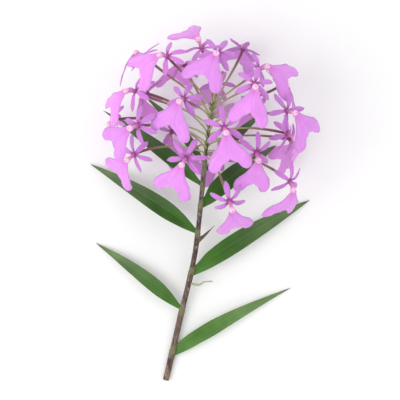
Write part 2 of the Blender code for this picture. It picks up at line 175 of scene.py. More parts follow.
# Values kept at every point of a mesh, for the materials and the thickness to read
POINT_VALUES = ("along", "across", "edge", "tint", "thin")


def linear(hex_colour):
    """The linear red, green and blue of an sRGB hex colour."""
    parts = [int(hex_colour[start : start + 2], 16) / 255 for start in (1, 3, 5)]
    return tuple(part / 12.92 if part <= 0.04045 else ((part + 0.055) / 1.055) ** 2.4 for part in parts)


def smooth_step(low, high, value):
    share = min(max((value - low) / (high - low), 0.0), 1.0)
    return share * share * (3 - 2 * share)


def mix(start, end, share):
    return start + (end - start) * share


def wander(value, *seeds):
    """A smooth random number between -1 and 1 that changes over about one unit of value."""
    first, second = (*seeds, 0.37)[:2]
    return noise.noise(Vector((value, first * 7.31 + 0.5, second * 3.17 + 0.5))) * 1.6


class Draft:
    """A mesh in the making: its points and faces, their slots and the values at each point."""

    def __init__(self):
        self.points = []
        self.faces = []
        self.slots = []
        self.values = {name: [] for name in POINT_VALUES}

    def add_point(self, point, values):
        self.points.append(Vector(point))
        for name, held in self.values.items():
            held.append(values.get(name, 0.0))
        return len(self.points) - 1

    def add_face(self, corners, slot):
        """Adds a face, or what is left of it where some of its corners are one point."""
        ring = [corner for at, corner in enumerate(corners) if corner != corners[at - 1]]
        if len(set(ring)) > 2:
            self.faces.append(tuple(dict.fromkeys(ring)))
            self.slots.append(slot)

    def add_rings(self, rings, slot, tip_points):
        """Skins rings of points, each a list of (point, values), and closes both ends on a tip."""
        first = [[self.add_point(*item) for item in ring] for ring in rings]
        count = len(first[0])
        for lower, upper in zip(first, first[1:]):
            for at in range(count):
                after = (at + 1) % count
                self.add_face((lower[at], lower[after], upper[after], upper[at]), slot)
        start, end = (self.add_point(*item) for item in tip_points)
        for at in range(count):
            after = (at + 1) % count
            self.add_face((first[0][after], first[0][at], start), slot)
            self.add_face((first[-1][at], first[-1][after], end), slot)

    def add_lathed(self, stations, count, place, slot, tip_points):
        """Skins rings, where place gives the point and its values at a station and a turn."""
        rings = [[place(station, turn) for turn in turns(count)] for station in stations]
        self.add_rings(rings, slot, tip_points)

    def add_blade(self, patches, thickness, slot):
        """A closed thin blade from patches (rows, columns, place) of one middle surface.

        Points that two patches share are welded. The front takes the slot and the back the
        next one. Each point's "thin" value, 0 to 1, scales the thickness there.
        """
        welded, middle, values, quads = {}, [], [], []
        for rows, columns, place in patches:
            grid = []
            for row in rows:
                line = []
                for column in columns:
                    point, held = place(row, column)
                    key = tuple(round(part / (2e-3 * MM)) for part in point)
                    if key not in welded:
                        welded[key] = len(middle)
                        middle.append(point)
                        values.append(held)
                    line.append(welded[key])
                grid.append(line)
            for lower, upper in zip(grid, grid[1:]):
                for at in range(len(columns) - 1):
                    quads.append((lower[at], lower[at + 1], upper[at + 1], upper[at]))
        normals = face_normals_at_points(middle, quads)
        fronts, backs = [], []
        for point, held, normal in zip(middle, values, normals):
            half = normal * thickness * held.get("thin", 1.0) / 2
            fronts.append(self.add_point(point + half, held))
            backs.append(self.add_point(point - half, held))
        edges = {}
        for quad in quads:
            ring = list(dict.fromkeys(quad))
            if len(ring) < 3:
                continue
            self.add_face([fronts[corner] for corner in ring], slot)
            self.add_face([backs[corner] for corner in reversed(ring)], slot + 1)
            for start, end in zip(ring, ring[1:] + ring[:1]):
                if edges.pop((end, start), None) is None:
                    edges[start, end] = True
        for start, end in edges:
            self.add_face((fronts[end], fronts[start], backs[start], backs[end]), slot)

    def lowest(self, matrix):
        return min((matrix @ point).z for point in self.points)

    def finished(self, name, matrix, materials, sharp_angle=60):
        """The object, with its points in place, its materials and its point values."""
        mesh = bpy.data.meshes.new(name)
        mesh.from_pydata([matrix @ point for point in self.points], [], self.faces)
        for material in materials:
            mesh.materials.append(material)
        mesh.polygons.foreach_set("material_index", self.slots)
        for value_name, held in self.values.items():
            mesh.attributes.new(value_name, "FLOAT", "POINT").data.foreach_set("value", held)
        mesh.validate()
        mesh.shade_smooth()
        mesh.set_sharp_from_angle(angle=math.radians(sharp_angle))
        piece = bpy.data.objects.new(name, mesh)
        bpy.context.scene.collection.objects.link(piece)
        return piece


def face_normals_at_points(points, quads):
    """At each point, the mean direction of the faces round it, weighted by their area."""
    place = np.array([tuple(point) for point in points])
    corners = np.array(quads)
    across = place[corners[:, 2]] - place[corners[:, 0]]
    down = place[corners[:, 3]] - place[corners[:, 1]]
    facing = np.cross(across, down)
    total = np.zeros_like(place)
    for corner in range(4):
        np.add.at(total, corners[:, corner], facing)
    length = np.linalg.norm(total, axis=1, keepdims=True)
    return [Vector(normal) for normal in total / np.maximum(length, 1e-20)]


def even(count):
    return [step / count for step in range(count + 1)]


def both_ways(count, way=1):
    """Shares from -1 to 1, or the other way round."""
    return [way * step / count for step in range(-count, count + 1)]


def turns(count):
    """The angles of this many even steps round a circle."""
    return [math.tau * step / count for step in range(count)]


def turned(right, up, turn):
    """The direction at this turn from one direction to the other."""
    return right * math.cos(turn) + up * math.sin(turn)


def early_hump(u):
    """0 at both ends and 1 at a third of the way."""
    return 6.75 * u * (1 - u) ** 2


def bell(value, width):
    return math.exp(-((value / width) ** 2))


def crowded_to_end(count, power=1.7):
    """Shares from 0 to 1 that lie closer together towards 1, where an outline turns round."""
    return [1 - (1 - step / count) ** power for step in range(count + 1)]


# The cane


def on_route(route, share):
    """The point at this share, 0 to 1, of a smooth curve through all the route's points."""
    spans = len(route) - 1
    place = min(max(share, 0.0), 1.0) * spans
    span = min(int(place), spans - 1)
    t = place - span
    before = route[span - 1] if span else 2 * route[0] - route[1]
    start, end = route[span], route[span + 1]
    after = route[span + 2] if span + 2 <= spans else 2 * end - start
    return 0.5 * (
        2 * start
        + (end - before) * t
        + (2 * before - 5 * start + 4 * end - after) * t**2
        + (3 * start - before - 3 * end + after) * t**3
    )


@functools.lru_cache(maxsize=None)
def cane_point(along_y):
    """Where the cane's centre line is at this distance along Y, and its direction there."""
    low, high = 0.0, 1.0
    for _ in range(40):
        middle = (low + high) / 2
        if on_route(CANE_ROUTE, middle).y < along_y:
            low = middle
        else:
            high = middle
    ahead = on_route(CANE_ROUTE, min(high + 0.01, 1.0))
    behind = on_route(CANE_ROUTE, max(low - 0.01, 0.0))
    return on_route(CANE_ROUTE, high), (ahead - behind).normalized()


def cane_radius(along_y):
    if along_y > RACHIS_START_Y:
        share = (along_y - RACHIS_START_Y) / (CANE_ROUTE[-1].y - RACHIS_START_Y)
        return mix(CANE_RADIUS_HEAD, RACHIS_RADIUS_TIP, share)
    return mix(CANE_RADIUS_CUT, CANE_RADIUS_HEAD, along_y / RACHIS_START_Y)


# The leaves


def leaf_side(name):
    return 1 if name.endswith("right") else -1


def leaf_frame(along_y, side, rise):
    """The leaf's root on the cane's side, the way it grows, and the way across it."""
    centre, direction = cane_point(along_y)
    outward = Vector((side * math.cos(rise), math.sin(rise), 0.0))
    square = (outward - direction * outward.dot(direction)).normalized()
    root = centre + square * (cane_radius(along_y) + SHEATH_SWELL + SEAT_GAP)
    across = Vector((-outward.y, outward.x, 0.0)) * side
    return root, outward, across, direction


def leaf_point(leaf, side, u, v):
    """A point of the leaf's middle surface: u from root to tip, v from edge to edge."""
    node, length, width, rise, end_height, base, narrowing = leaf[:7]
    root, outward, across, along_cane = leaf_frame(node * MM, side, math.radians(rise))
    clasp = max(0.0, 1 - u / LEAF_CLASP)
    across = (across * (1 - clasp) + along_cane * clasp).normalized()
    if u < LEAF_WIDEST:
        half = width / 2 * mix(base, 1.0, math.sin(math.pi / 2 * u / LEAF_WIDEST))
    else:
        half = width / 2 * (1 - ((u - LEAF_WIDEST) / (1 - LEAF_WIDEST)) ** narrowing)
    fold = LEAF_FOLD * (1.9 - 1.3 * min(u * 2.2, 1.0)) * (1 - clasp)
    arch = 4 * u * (1 - u)
    middle = root + outward * length * MM * u + across * arch * LEAF_BEND
    end = (end_height * MM + LEAF_SOLID_THICKNESS / 2) - root.z
    middle.z += end * u**1.2 + arch * LEAF_ARCH
    reach = half * MM * v
    return middle + across * reach * math.cos(fold) + Z_AXIS * abs(reach) * math.sin(fold)


def fine_leaf_point(leaf, seed, side, wave, u, v):
    """The leaf's point with a rounded midrib, wavy margins and a root sunk in its sheath."""
    flat = math.sqrt(MIDRIB_ROUNDING)
    soft = (math.sqrt(v * v + MIDRIB_ROUNDING) - flat) / (math.sqrt(1 + MIDRIB_ROUNDING) - flat)
    point = leaf_point(leaf, side, max(u, 0.0), math.copysign(soft, v))
    if u < 0:
        _, outward, _, _ = leaf_frame(leaf[0] * MM, side, math.radians(leaf[3]))
        point += outward * leaf[1] * MM * u
    free = smooth_step(0.02, 0.25, u) * smooth_step(1.0, 0.9, u)
    point.z += free * wave * v * v * wander(u * 9, seed, math.copysign(1, v))
    point.z += free * 0.5 * wave * wander(u * 5, seed, 3.0) * (1 - v * v)
    return point


# The head


def floret_targets():
    """Points spread evenly over the head's ball, in a spiral from its foot to its top."""
    dice = random.Random(FLORET_SEED)
    targets = []
    for index in range(FLORET_COUNT):
        share = (index + 0.5) / FLORET_COUNT
        height = mix(math.cos(POLAR_LOW), math.cos(POLAR_TOP), share)
        out = turned(HEAD_SIDE, HEAD_FRONT, SPIRAL_START + index * GOLDEN_ANGLE)
        direction = HEAD_AXIS * height + out * math.sqrt(1 - height**2)
        radius = mix(HEAD_RADIUS_LOW, HEAD_RADIUS_TOP, share)
        radius *= 1 + dice.uniform(-HEAD_LOOSENESS, HEAD_LOOSENESS)
        targets.append(HEAD_CENTRE + direction * radius)
    return np.array(targets)


def obstacles():
    """Points along the leaves and the cane that the florets keep clear of."""
    points = [cane_point(along * MM)[0] for along in range(100, 176, 8)]
    for name, leaf in list(LEAVES.items())[:LEAVES_BELOW_HEAD]:
        points += [leaf_point(leaf, leaf_side(name), step / 8, 0.0) for step in range(9)]
    return np.array(points)


def push(points, others, least, strength, same=0.0):
    """How far each point moves off the others that are nearer than the least distance.

    Where the others are the points themselves, same is 1 for each point and itself.
    """
    apart = points[:, None] - others[None]
    distance = np.linalg.norm(apart, axis=2) + same
    short = np.clip(least - distance, 0, None) * (1 - same)
    return strength * (apart / distance[..., None] * short[..., None]).sum(axis=1)


def settle_florets():
    """The floret points after they push each other, the leaves and the table away."""
    targets, fixed = floret_targets(), obstacles()
    points = targets.copy()
    centre = np.array(HEAD_CENTRE)
    radii = np.linalg.norm(targets - centre, axis=1)
    for _ in range(SETTLE_ROUNDS):
        points += push(points, points, FLORET_SPACING, PUSH_OFF_FLORETS, np.eye(FLORET_COUNT))
        points += push(points, fixed, LEAF_CLEARANCE, PUSH_OFF_LEAVES)
        out = points - centre
        length = np.linalg.norm(out, axis=1)
        points += PULL_TO_BALL * out * ((radii - length) / length)[:, None]
        points[:, 2] = np.maximum(points[:, 2], FLORET_ABOVE_TABLE)
    return [Vector(point) for point in points]


def floret_frame(point, dice):
    """The floret's matrix: its face out from the head and to the light, its lip fanned outward."""
    out = (point - HEAD_CENTRE).normalized()
    lean = Vector([dice.uniform(-FLORET_LEAN, FLORET_LEAN) for _ in range(3)])
    lit = min(max(out.z + LIT_FROM, 0.0) * 2, 1.0)
    face = (out + Z_AXIS * UP_TO_LIGHT * lit + lean).normalized()
    up = (LIP_POLE - face * LIP_POLE.dot(face)).normalized()
    up = Matrix.Rotation(dice.uniform(-FLORET_TURN, FLORET_TURN), 3, face) @ up
    return Matrix.Translation(point) @ Matrix((up.cross(face), up, face)).transposed().to_4x4()


def floret_habit(dice):
    return {
        "size": dice.uniform(0.94, 1.05),
        "spread": dice.uniform(0.85, 1.15),
        "sag": dice.uniform(0.10, 0.32),
        "reflex": dice.uniform(0.05, 0.45),
    }


def bud_frames():
    """The unopened buds stand round the rachis's tip, leaning out from the head's axis."""
    frames = []
    for index in range(BUD_COUNT):
        lean = turned(HEAD_SIDE, HEAD_FRONT, index * GOLDEN_ANGLE) * BUD_LEAN
        direction = (HEAD_AXIS + lean).normalized()
        foot = CANE_ROUTE[-1] + direction * BUD_STALK * (1 - 0.1 * index)
        frames.append(Matrix.Translation(foot) @ direction.to_track_quat("Z", "Y").to_matrix().to_4x4())
    return frames


@functools.lru_cache(maxsize=None)
def to_table():
    """The move from the rule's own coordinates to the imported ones, read off the first bud."""
    coarse = []
    for ring in range(7):
        polar = math.pi * ring / 6
        share = (1 + math.cos(polar)) / 2
        narrow = BUD_RADIUS * (0.75 + 0.5 * share * (1 - share) * 2) * math.sin(polar)
        for turn in turns(8):
            coarse.append(Vector((math.cos(turn) * narrow, math.sin(turn) * narrow, share * BUD_LENGTH)))
    placed = [bud_frames()[0] @ point for point in coarse]
    low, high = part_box("bud_1")
    middle = Vector([(min(axis) + max(axis)) / 2 for axis in zip(*placed)])
    return Matrix.Translation((Vector(low) + Vector(high)) / 2 - middle)


# A floret: five tepals and a forked lip round a column with its bead


def tepal_half_width(width, u):
    """As the solid's, but the end closes in a soft point."""
    if u < TEPAL_WIDEST:
        return width / 2 * mix(TEPAL_ROOT_SHARE, 1.0, math.sin(math.pi / 2 * u / TEPAL_WIDEST))
    past = (u - TEPAL_WIDEST) / (1 - TEPAL_WIDEST)
    return width / 2 * max(0.0, 1 - past**2) ** 0.62


def tepal_place(sizes, habit, turn, seed):
    """A function of (u, v) for one tepal: its middle surface and the values at the point."""
    length = sizes.tepal_length * habit["size"]
    width = sizes.tepal_width * habit["girth"]

    def place(u, v):
        half = tepal_half_width(width, u)
        half *= 1 + 0.07 * wander(u * 5, seed, math.copysign(1, v) if v else 0.0)
        along = (0.7 * MM + length * u) * math.cos(habit["reflex"] * u)
        lift = TEPAL_ARCH * early_hump(u)
        lift -= sizes.tepal_length * math.sin(habit["reflex"]) * u**2
        lift -= 0.5 * MM * v * v * math.sin(math.pi * u)
        lift += v * half * habit["twist"] * u
        lift -= 0.22 * MM * bell(v, 0.22) * math.sin(math.pi * min(u * 1.1, 1.0))
        lift += 0.25 * MM * v * v * wander(u * 4, seed, 5.0)
        bend = habit["bend"] * length * u * u
        values = {
            "along": u,
            "across": v,
            "edge": max(abs(v), smooth_step(0.93, 1.0, u)),
            "tint": habit["tint"],
            "thin": 1 - 0.6 * v * v,
        }
        return turn @ Vector((v * half + bend, along, lift)), values

    return place


def lobe_half_width(sizes, u):
    """The half width of one side of the lip: a narrow claw, a broad lobe and a round end."""
    claw, lobe = sizes.lip_claw_width / 4, sizes.lip_lobe_width / 2
    if u < LIP_NOTCH:
        return mix(claw, lobe, (u / LIP_NOTCH) ** 2)
    share = (u - LIP_NOTCH) / (1 - LIP_NOTCH)
    return lobe * math.sqrt(max(0.0, 1 - share**4.6))


def lip_place(sizes, habit, side, seed):
    """A function of (u, v) for half the lip: v from its inner margin, -1, to the outer, 1."""
    spread = sizes.lip_spread * habit["spread"]
    length = sizes.lip_length * habit["size"]

    def place(u, v):
        half = lobe_half_width(sizes, u)
        reach = half * v
        if v > 0:
            reach *= 1 + 0.05 * wander(u * 6, seed, side) + 0.035 * wander(u * 19, seed, side * 2)
        elif u > LIP_NOTCH:
            ragged = habit["ragged"] * smooth_step(LIP_NOTCH, LIP_NOTCH + 0.08, u)
            reach *= 1 + ragged * wander(u * 21, seed, side * 3)
        centre = Vector((sizes.lip_claw_width / 4 + spread * u**LIP_SPLAY, -length * u, 0.0))
        ahead = Vector((LIP_SPLAY * spread * max(u, 1e-6) ** (LIP_SPLAY - 1), -length, 0.0)).normalized()
        point = centre + Vector((-ahead.y, ahead.x, 0.0)) * reach
        outer = centre.x - ahead.y * half
        apart = smooth_step(LIP_NOTCH, LIP_NOTCH + 0.16, u)
        point.x = mix(outer * (v + 1) / 2, point.x, apart)
        from_middle = (v + 1) / 2
        margin = max(from_middle, -v * apart, smooth_step(0.94, 1.0, u))
        point.z = LIP_ARCH * early_hump(u) - habit["sag"] * sizes.lip_length * u**2 - 0.08 * point.x
        point.z += 1.4 * MM * from_middle**2 * smooth_step(0.2, 0.0, u)
        point.z -= 0.5 * MM * bell(point.x, 0.9 * MM) * smooth_step(0.62, 0.3, u)
        ripple = sizes.lip_ripple * smooth_step(0.2, 0.7, u) * (1 - 0.5 * smooth_step(0.9, 1.0, u))
        wave = math.sin(math.tau * (habit["waves"] * u + habit["phase"] + 0.37 * side))
        # The outer margin is always free to ripple, the inner one only once the lobes are apart
        free = abs(v) if v > 0 else abs(v) * apart
        point.z += ripple * wave * smooth_step(0.3, 1.0, from_middle) * free
        point.z -= 0.5 * MM * v * v * apart
        values = {
            "along": u,
            "across": side * from_middle,
            "edge": margin,
            "tint": habit["tint"],
            "thin": 1 - 0.6 * smooth_step(0.5, 1.0, margin),
        }
        return LIP_ROOT + Vector((side * point.x, point.y, point.z)), values

    return place


def add_column(draft, tint):
    """The column: from the ovary it widens at the tepals, narrows and flares to its hood."""
    profile = ((0.0, 0.62), (0.1, 0.95), (0.2, 1.0), (0.35, 0.86), (0.6, 0.76), (0.82, 0.84), (1.0, 0.98))

    def place(share, turn):
        for (before, narrow), (after, wide) in zip(profile, profile[1:]):
            if before <= share <= after:
                scale = mix(narrow, wide, smooth_step(before, after, share))
        height = mix(COLUMN_BACK, COLUMN_FRONT, share)
        drop = COLUMN_DROOP * max(0.0, height / COLUMN_FRONT) ** 1.1
        girth = mix(COLUMN_RADIUS_BASE, COLUMN_RADIUS_TIP, share) * scale * (1 + 0.06 * math.cos(3 * turn))
        point = Vector((math.cos(turn) * girth, math.sin(turn) * girth - drop, height))
        return point, {"along": share, "across": math.cos(turn), "tint": tint}

    start = Vector((0, 0, COLUMN_BACK - 0.2 * MM)), {"along": 0.0, "tint": tint}
    end = Vector((0, -COLUMN_DROOP, COLUMN_FRONT + 0.1 * MM)), {"along": 1.0, "tint": tint}
    draft.add_lathed(even(16), 14, place, COLUMN_SLOT, (start, end))


def add_bead(draft, tint):
    """The callus and anther cap: a round bead with a dimple in its middle and a ring round it."""
    centre = LIP_ROOT + Vector((0, 0.3, 0.5)) * MM
    rings = []
    for step in range(1, 16):
        polar = math.pi * step / 16
        radius = CALLUS_RADIUS * (1 - 0.22 * bell(polar, 0.34))
        radius *= 1 - 0.07 * bell(polar - 0.98, 0.13)
        ring = []
        for turn in turns(20):
            lobes = 1 + 0.035 * math.cos(2 * turn)
            out = radius * math.sin(polar) * lobes
            point = centre + Vector((math.cos(turn) * out, math.sin(turn) * out, radius * math.cos(polar)))
            ring.append((point, {"edge": polar / math.pi, "along": 0.5, "tint": tint}))
        rings.append(ring)
    top = centre + Vector((0, 0, CALLUS_RADIUS * 0.78)), {"edge": 0.0, "tint": tint}
    bottom = centre - Vector((0, 0, CALLUS_RADIUS)), {"edge": 1.0, "tint": tint}
    draft.add_rings([list(reversed(ring)) for ring in rings], BEAD_SLOT, (top, bottom))


def floret_draft(sizes, habit, dice, seed):
    """All of a floret in its own frame; the draws come in the order that the solids take."""
    draft = Draft()
    extra = random.Random(seed * 13 + 5)
    for number, angle in enumerate(TEPAL_ANGLES):
        own = dict(habit, reflex=habit["reflex"] + dice.uniform(-0.12, 0.12))
        turn = Matrix.Rotation(angle - math.pi / 2 + dice.uniform(-0.08, 0.08), 3, "Z")
        own["girth"] = 0.92 if number in (1, 2) else 1.0
        own["twist"] = extra.uniform(-0.22, 0.22)
        own["bend"] = extra.uniform(-0.05, 0.05)
        place = tepal_place(sizes, own, turn, seed + number * 0.71)
        draft.add_blade([(crowded_to_end(20), both_ways(5), place)], sizes.tepal_thickness, TEPAL_SLOT)
    ragged, waves, phase = extra.choice((0.02, 0.05, 0.16)), extra.uniform(1.6, 2.6), extra.uniform(0, 1)
    habit = dict(habit, ragged=ragged, waves=waves, phase=phase)
    claw_rows = [LIP_NOTCH * share for share in even(16)]
    lobe_rows = [mix(LIP_NOTCH, 1.0, share) for share in crowded_to_end(22, 1.8)]
    patches = []
    for side in (1, -1):
        place = lip_place(sizes, habit, side, seed * 0.37)
        patches += [(rows, both_ways(8, -side), place) for rows in (claw_rows, lobe_rows)]
    draft.add_blade(patches, sizes.lip_thickness, LIP_SLOT)
    add_column(draft, habit["tint"])
    add_bead(draft, habit["tint"])
    return draft


@functools.lru_cache(maxsize=None)
def florets():
    """Each floret's matrix and draft. One that lies on the table is let down until it touches."""
    sizes = bpy.context.scene.orchid_florets
    made = []
    for index, point in enumerate(settle_florets()):
        dice = random.Random(FLORET_SEED + index)
        matrix = to_table() @ floret_frame(point, dice)
        habit = dict(floret_habit(dice), tint=random.Random(index * 3 + 1).random())
        draft = floret_draft(sizes, habit, dice, index + 1.0)
        solid_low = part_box(f"floret_{index + 1:02d}")[0][2]
        low = draft.lowest(matrix)
        if solid_low < 0.5 * MM or low < 0:
            matrix.translation.z -= low
        made.append((matrix, draft))
    return made


# Tubes: the cane, the flower stalks, the side shoot and the air root


def turning_frames(points):
    """At each point of a path, two directions square to it that turn as little as they can."""
    frames = []
    normal = None
    for behind, ahead in zip(points[:1] + points, points[1:] + points[-1:]):
        direction = (ahead - behind).normalized()
        normal = direction.orthogonal() if normal is None else normal
        normal = (normal - direction * normal.dot(direction)).normalized()
        frames.append((normal, direction.cross(normal)))
    return frames


def add_tube(draft, points, girth, sides, tint):
    """A closed tube whose girth is a function of (share, turn)."""
    frames = turning_frames(points)

    def place(station, turn):
        share = station / (len(points) - 1)
        spot = points[station] + turned(*frames[station], turn) * girth(share, turn)
        return spot, {"along": share, "across": turn / math.tau, "tint": tint}

    ends = (points[0], {"along": 0.0, "tint": tint}), (points[-1], {"along": 1.0, "tint": tint})
    draft.add_lathed(range(len(points)), sides, place, 0, ends)


def bezier(start, leave, arrive, end, t):
    s = 1 - t
    return start * s**3 + leave * (3 * s * s * t) + arrive * (3 * s * t * t) + end * t**3


def pedicel_route(root, matrix, steps):
    """From the rachis, up a little along it, then out and into the back of the floret."""
    face = matrix.to_3x3() @ Z_AXIS
    end = matrix @ Vector((0, 0, COLUMN_BACK - SEAT_GAP))
    reach = (end - root).length
    leave = root + (HEAD_AXIS * 0.5 + (end - root).normalized()).normalized() * reach * 0.35
    arrive = end - face * reach * 0.32
    route = [bezier(root, leave, arrive, end, share) for share in even(steps)]
    return route + [end + face * (SEAT_GAP + 0.5 * MM)]


def ovary_girth(share, turn):
    """Thin at the rachis, then a ribbed ovary that tapers where the floret joins it."""
    radius = mix(PEDICEL_RADIUS, OVARY_RADIUS * 1.04, smooth_step(0.35, 0.85, share))
    radius *= 1 - 0.2 * smooth_step(0.93, 1.0, share)
    foot = 0.25 * bell(share, 0.03)
    ribs = 0.075 * smooth_step(0.4, 0.7, share) * math.cos(3 * turn + 4 * share)
    return radius * (1 + foot + ribs)


def bud_stalk_girth(share, turn):
    return PEDICEL_RADIUS * (0.85 + 0.25 * share) * (1 + 0.05 * math.cos(3 * turn))


def add_bract(draft, root, outward, length, width, slot):
    """A small pointed scale below a stalk, cupped round it."""
    direction = (outward * 0.75 + HEAD_AXIS * 0.65).normalized()
    across = direction.cross(HEAD_AXIS).normalized()
    back = across.cross(direction)

    def place(u, v):
        half = width / 2 * math.sqrt(max(0.0, 1 - u**1.6)) * mix(0.8, 1.0, math.sin(math.pi * u))
        cup = 0.35 * width * v * v
        point = root + direction * length * u + across * half * v + back * (cup + length * 0.18 * u * u)
        return point, {"along": u, "across": v, "tint": 0.5, "thin": 1 - 0.5 * v * v}

    draft.add_blade([(crowded_to_end(8), both_ways(3), place)], 0.3 * MM, slot)


def stalks_draft():
    """The stalk of every floret and bud, each with its bract at the rachis."""
    draft = Draft()
    shift = to_table()
    first, last = RACHIS_START_Y + 4 * MM, CANE_ROUTE[-1].y - 3 * MM
    for index, (matrix, _) in enumerate(florets()):
        along = first + (last - first) * index / (FLORET_COUNT - 1)
        root = shift @ cane_point(along)[0]
        points = pedicel_route(root, matrix, 30)
        add_tube(draft, points, ovary_girth, 12, random.Random(index).random())
        outward = points[3] - points[0]
        outward = (outward - HEAD_AXIS * outward.dot(HEAD_AXIS)).normalized()
        foot = root + outward * cane_radius(along) * 0.7 - HEAD_AXIS * 1.2 * MM
        add_bract(draft, foot, outward, 3.6 * MM, 2.0 * MM, 1)
    root = shift @ cane_point(CANE_ROUTE[-1].y - 2 * MM)[0]
    for index, matrix in enumerate(bud_frames()):
        end = shift @ matrix @ Vector((0, 0, 0.4 * MM))
        middle = (root + end) / 2
        points = [bezier(root, middle, middle, end, share) for share in even(14)]
        add_tube(draft, points, bud_stalk_girth, 10, 0.0)
    return draft


def sheath_mouths(turn):
    """Where along Y each sheath ends at this turn round the cane: it slants to its leaf's side."""
    return [leaf[0] * MM + SHEATH_SLANT * math.cos(turn) * leaf_side(name) for name, leaf in LEAVES.items()]


def sheath_girth(along, turn):
    """The cane's radius: each sheath swells to its slanting mouth, then steps in at a node."""
    start = 0.0
    swell = 0.0
    node_ring = 0.0
    for mouth in sheath_mouths(turn):
        if along <= mouth:
            share = max(0.0, (along - start) / (mouth - start))
            swell = SHEATH_SWELL * share**2 + 0.1 * MM
            break
        start = mouth
        node_ring = max(node_ring, bell(along - mouth - 1.6 * MM, 0.9 * MM))
    swell *= smooth_step(0.0, 0.5 * MM, mouth - along) if along <= mouth else 0.0
    ribs = 0.035 * MM * math.cos(11 * turn) + 0.05 * MM * wander(along / (9 * MM), turn)
    return cane_radius(along) + swell + 0.16 * MM * node_ring + ribs


def node_nearness(along, turn):
    """1 at a sheath's mouth and just above it, falling to 0 a few millimetres off."""
    offs = [along - mouth for mouth in sheath_mouths(turn)]
    return max(bell(off, 3.0 * MM if off > 0 else 7.0 * MM) for off in offs)


def cane_stations():
    """Distances along Y for the cane's rings, close together at each sheath's mouth."""
    end = CANE_ROUTE[-1].y
    stations = {round(step * 1.5, 2) for step in range(int(end / MM / 1.5) + 1)}
    for leaf in LEAVES.values():
        stations |= {round(leaf[0] + step * 0.25, 2) for step in range(-10, 14)}
    return sorted(station * MM for station in stations)


def cane_draft():
    """The cane with its sheaths and nodes, and the pale cut across its lower end."""
    draft = Draft()
    shift = to_table()

    def place(along, turn):
        centre, direction = cane_point(along)
        right = direction.cross(Z_AXIS).normalized()
        spot = shift @ (centre + turned(right, right.cross(direction), turn) * sheath_girth(along, turn))
        held = {"along": along / CANE_ROUTE[-1].y, "across": turn / math.tau, "tint": 0.5}
        return spot, {**held, "edge": node_nearness(along, turn)}

    rings = [[place(along, turn) for turn in turns(CANE_SIDES)] for along in cane_stations()]
    tip = shift @ CANE_ROUTE[-1] + HEAD_AXIS * 0.5 * MM
    hollow = shift @ (cane_point(0.0)[0] + cane_point(0.0)[1] * 0.25 * MM)
    cut_ring = [(hollow + (point - hollow) * 0.82, {"edge": 0.0}) for point, _ in rings[0]]
    pith = [(hollow + (point - hollow) * 0.3, {"edge": 0.6}) for point, _ in rings[0]]
    ends = (hollow, {"edge": 1.0}), (tip, {"along": 1.0, "tint": 0.5})
    draft.add_rings([pith, cut_ring] + rings, 0, ends)
    # The cut shows on the first two bands of faces and on the fan round the hollow, which is every
    # other one of the last faces
    fans = len(draft.faces) - 2 * CANE_SIDES
    for face in (*range(2 * CANE_SIDES), *range(fans, len(draft.faces), 2)):
        draft.slots[face] = 1
    return draft


def thin_route(route, steps, wobble, seed):
    """A smooth path through a few points, with a slight natural wobble."""
    knots = [Vector(point) * MM for point in route]
    points = []
    for share in even(steps):
        sway = Vector([wander(share * 5, seed, axis) for axis in (1.0, 2.0, 3.0)])
        points.append(to_table() @ (on_route(knots, share) + sway * wobble * smooth_step(0.0, 0.3, share)))
    return points


def shoot_draft():
    """The pointed side shoot, wrapped in two scales."""

    def girth(share, turn):
        scale_edge = 0.12 * smooth_step(0.34, 0.3, share) + 0.12 * smooth_step(0.68, 0.64, share)
        return (mix(1.45, 0.12, share**1.1) + scale_edge) * MM * (1 + 0.06 * math.cos(2 * turn))

    draft = Draft()
    add_tube(draft, thin_route(SIDE_SHOOT, 44, 0.15 * MM, 4.0), girth, 14, 0.4)
    return draft


def root_draft():
    """The thin air root, with a blunt growing tip."""

    def girth(share, turn):
        blunt = math.sqrt(max(0.02, 1 - smooth_step(0.94, 1.0, share)))
        return mix(1.05, 0.5, share) * MM * blunt * (1 + 0.05 * wander(share * 22, turn))

    draft = Draft()
    add_tube(draft, thin_route(AIR_ROOT, 50, 0.35 * MM, 9.0), girth, 12, 0.6)
    return draft


def bud_draft(index):
    """An unopened bud: three sepals that meet in seams and close to a blunt point."""
    draft = Draft()
    tint = index / BUD_COUNT
    lean = 0.5 * MM * wander(index * 1.7, 2.0)

    def place(station, turn):
        polar = math.pi * (1 - station)
        share = (1 + math.cos(polar)) / 2
        seam = abs(math.sin(1.5 * (turn + 0.6 * share)))
        radius = BUD_RADIUS * (0.75 + share * (1 - share)) * math.sin(polar) ** 0.85
        radius *= 1 + 0.1 * smooth_step(0.0, 0.3, seam) - 0.06
        x, y = math.cos(turn) * radius + lean * share**2, math.sin(turn) * radius
        values = {"along": share, "across": turn / math.tau, "edge": 1 - seam, "tint": tint}
        return Vector((x, y, share * BUD_LENGTH)), values

    foot = Vector(), {"along": 0.0, "tint": tint}
    tip = Vector((lean, 0, BUD_LENGTH)), {"along": 1.0, "tint": tint}
    draft.add_lathed(even(24)[1:-1], 24, place, 0, (foot, tip))
    return draft


# Materials


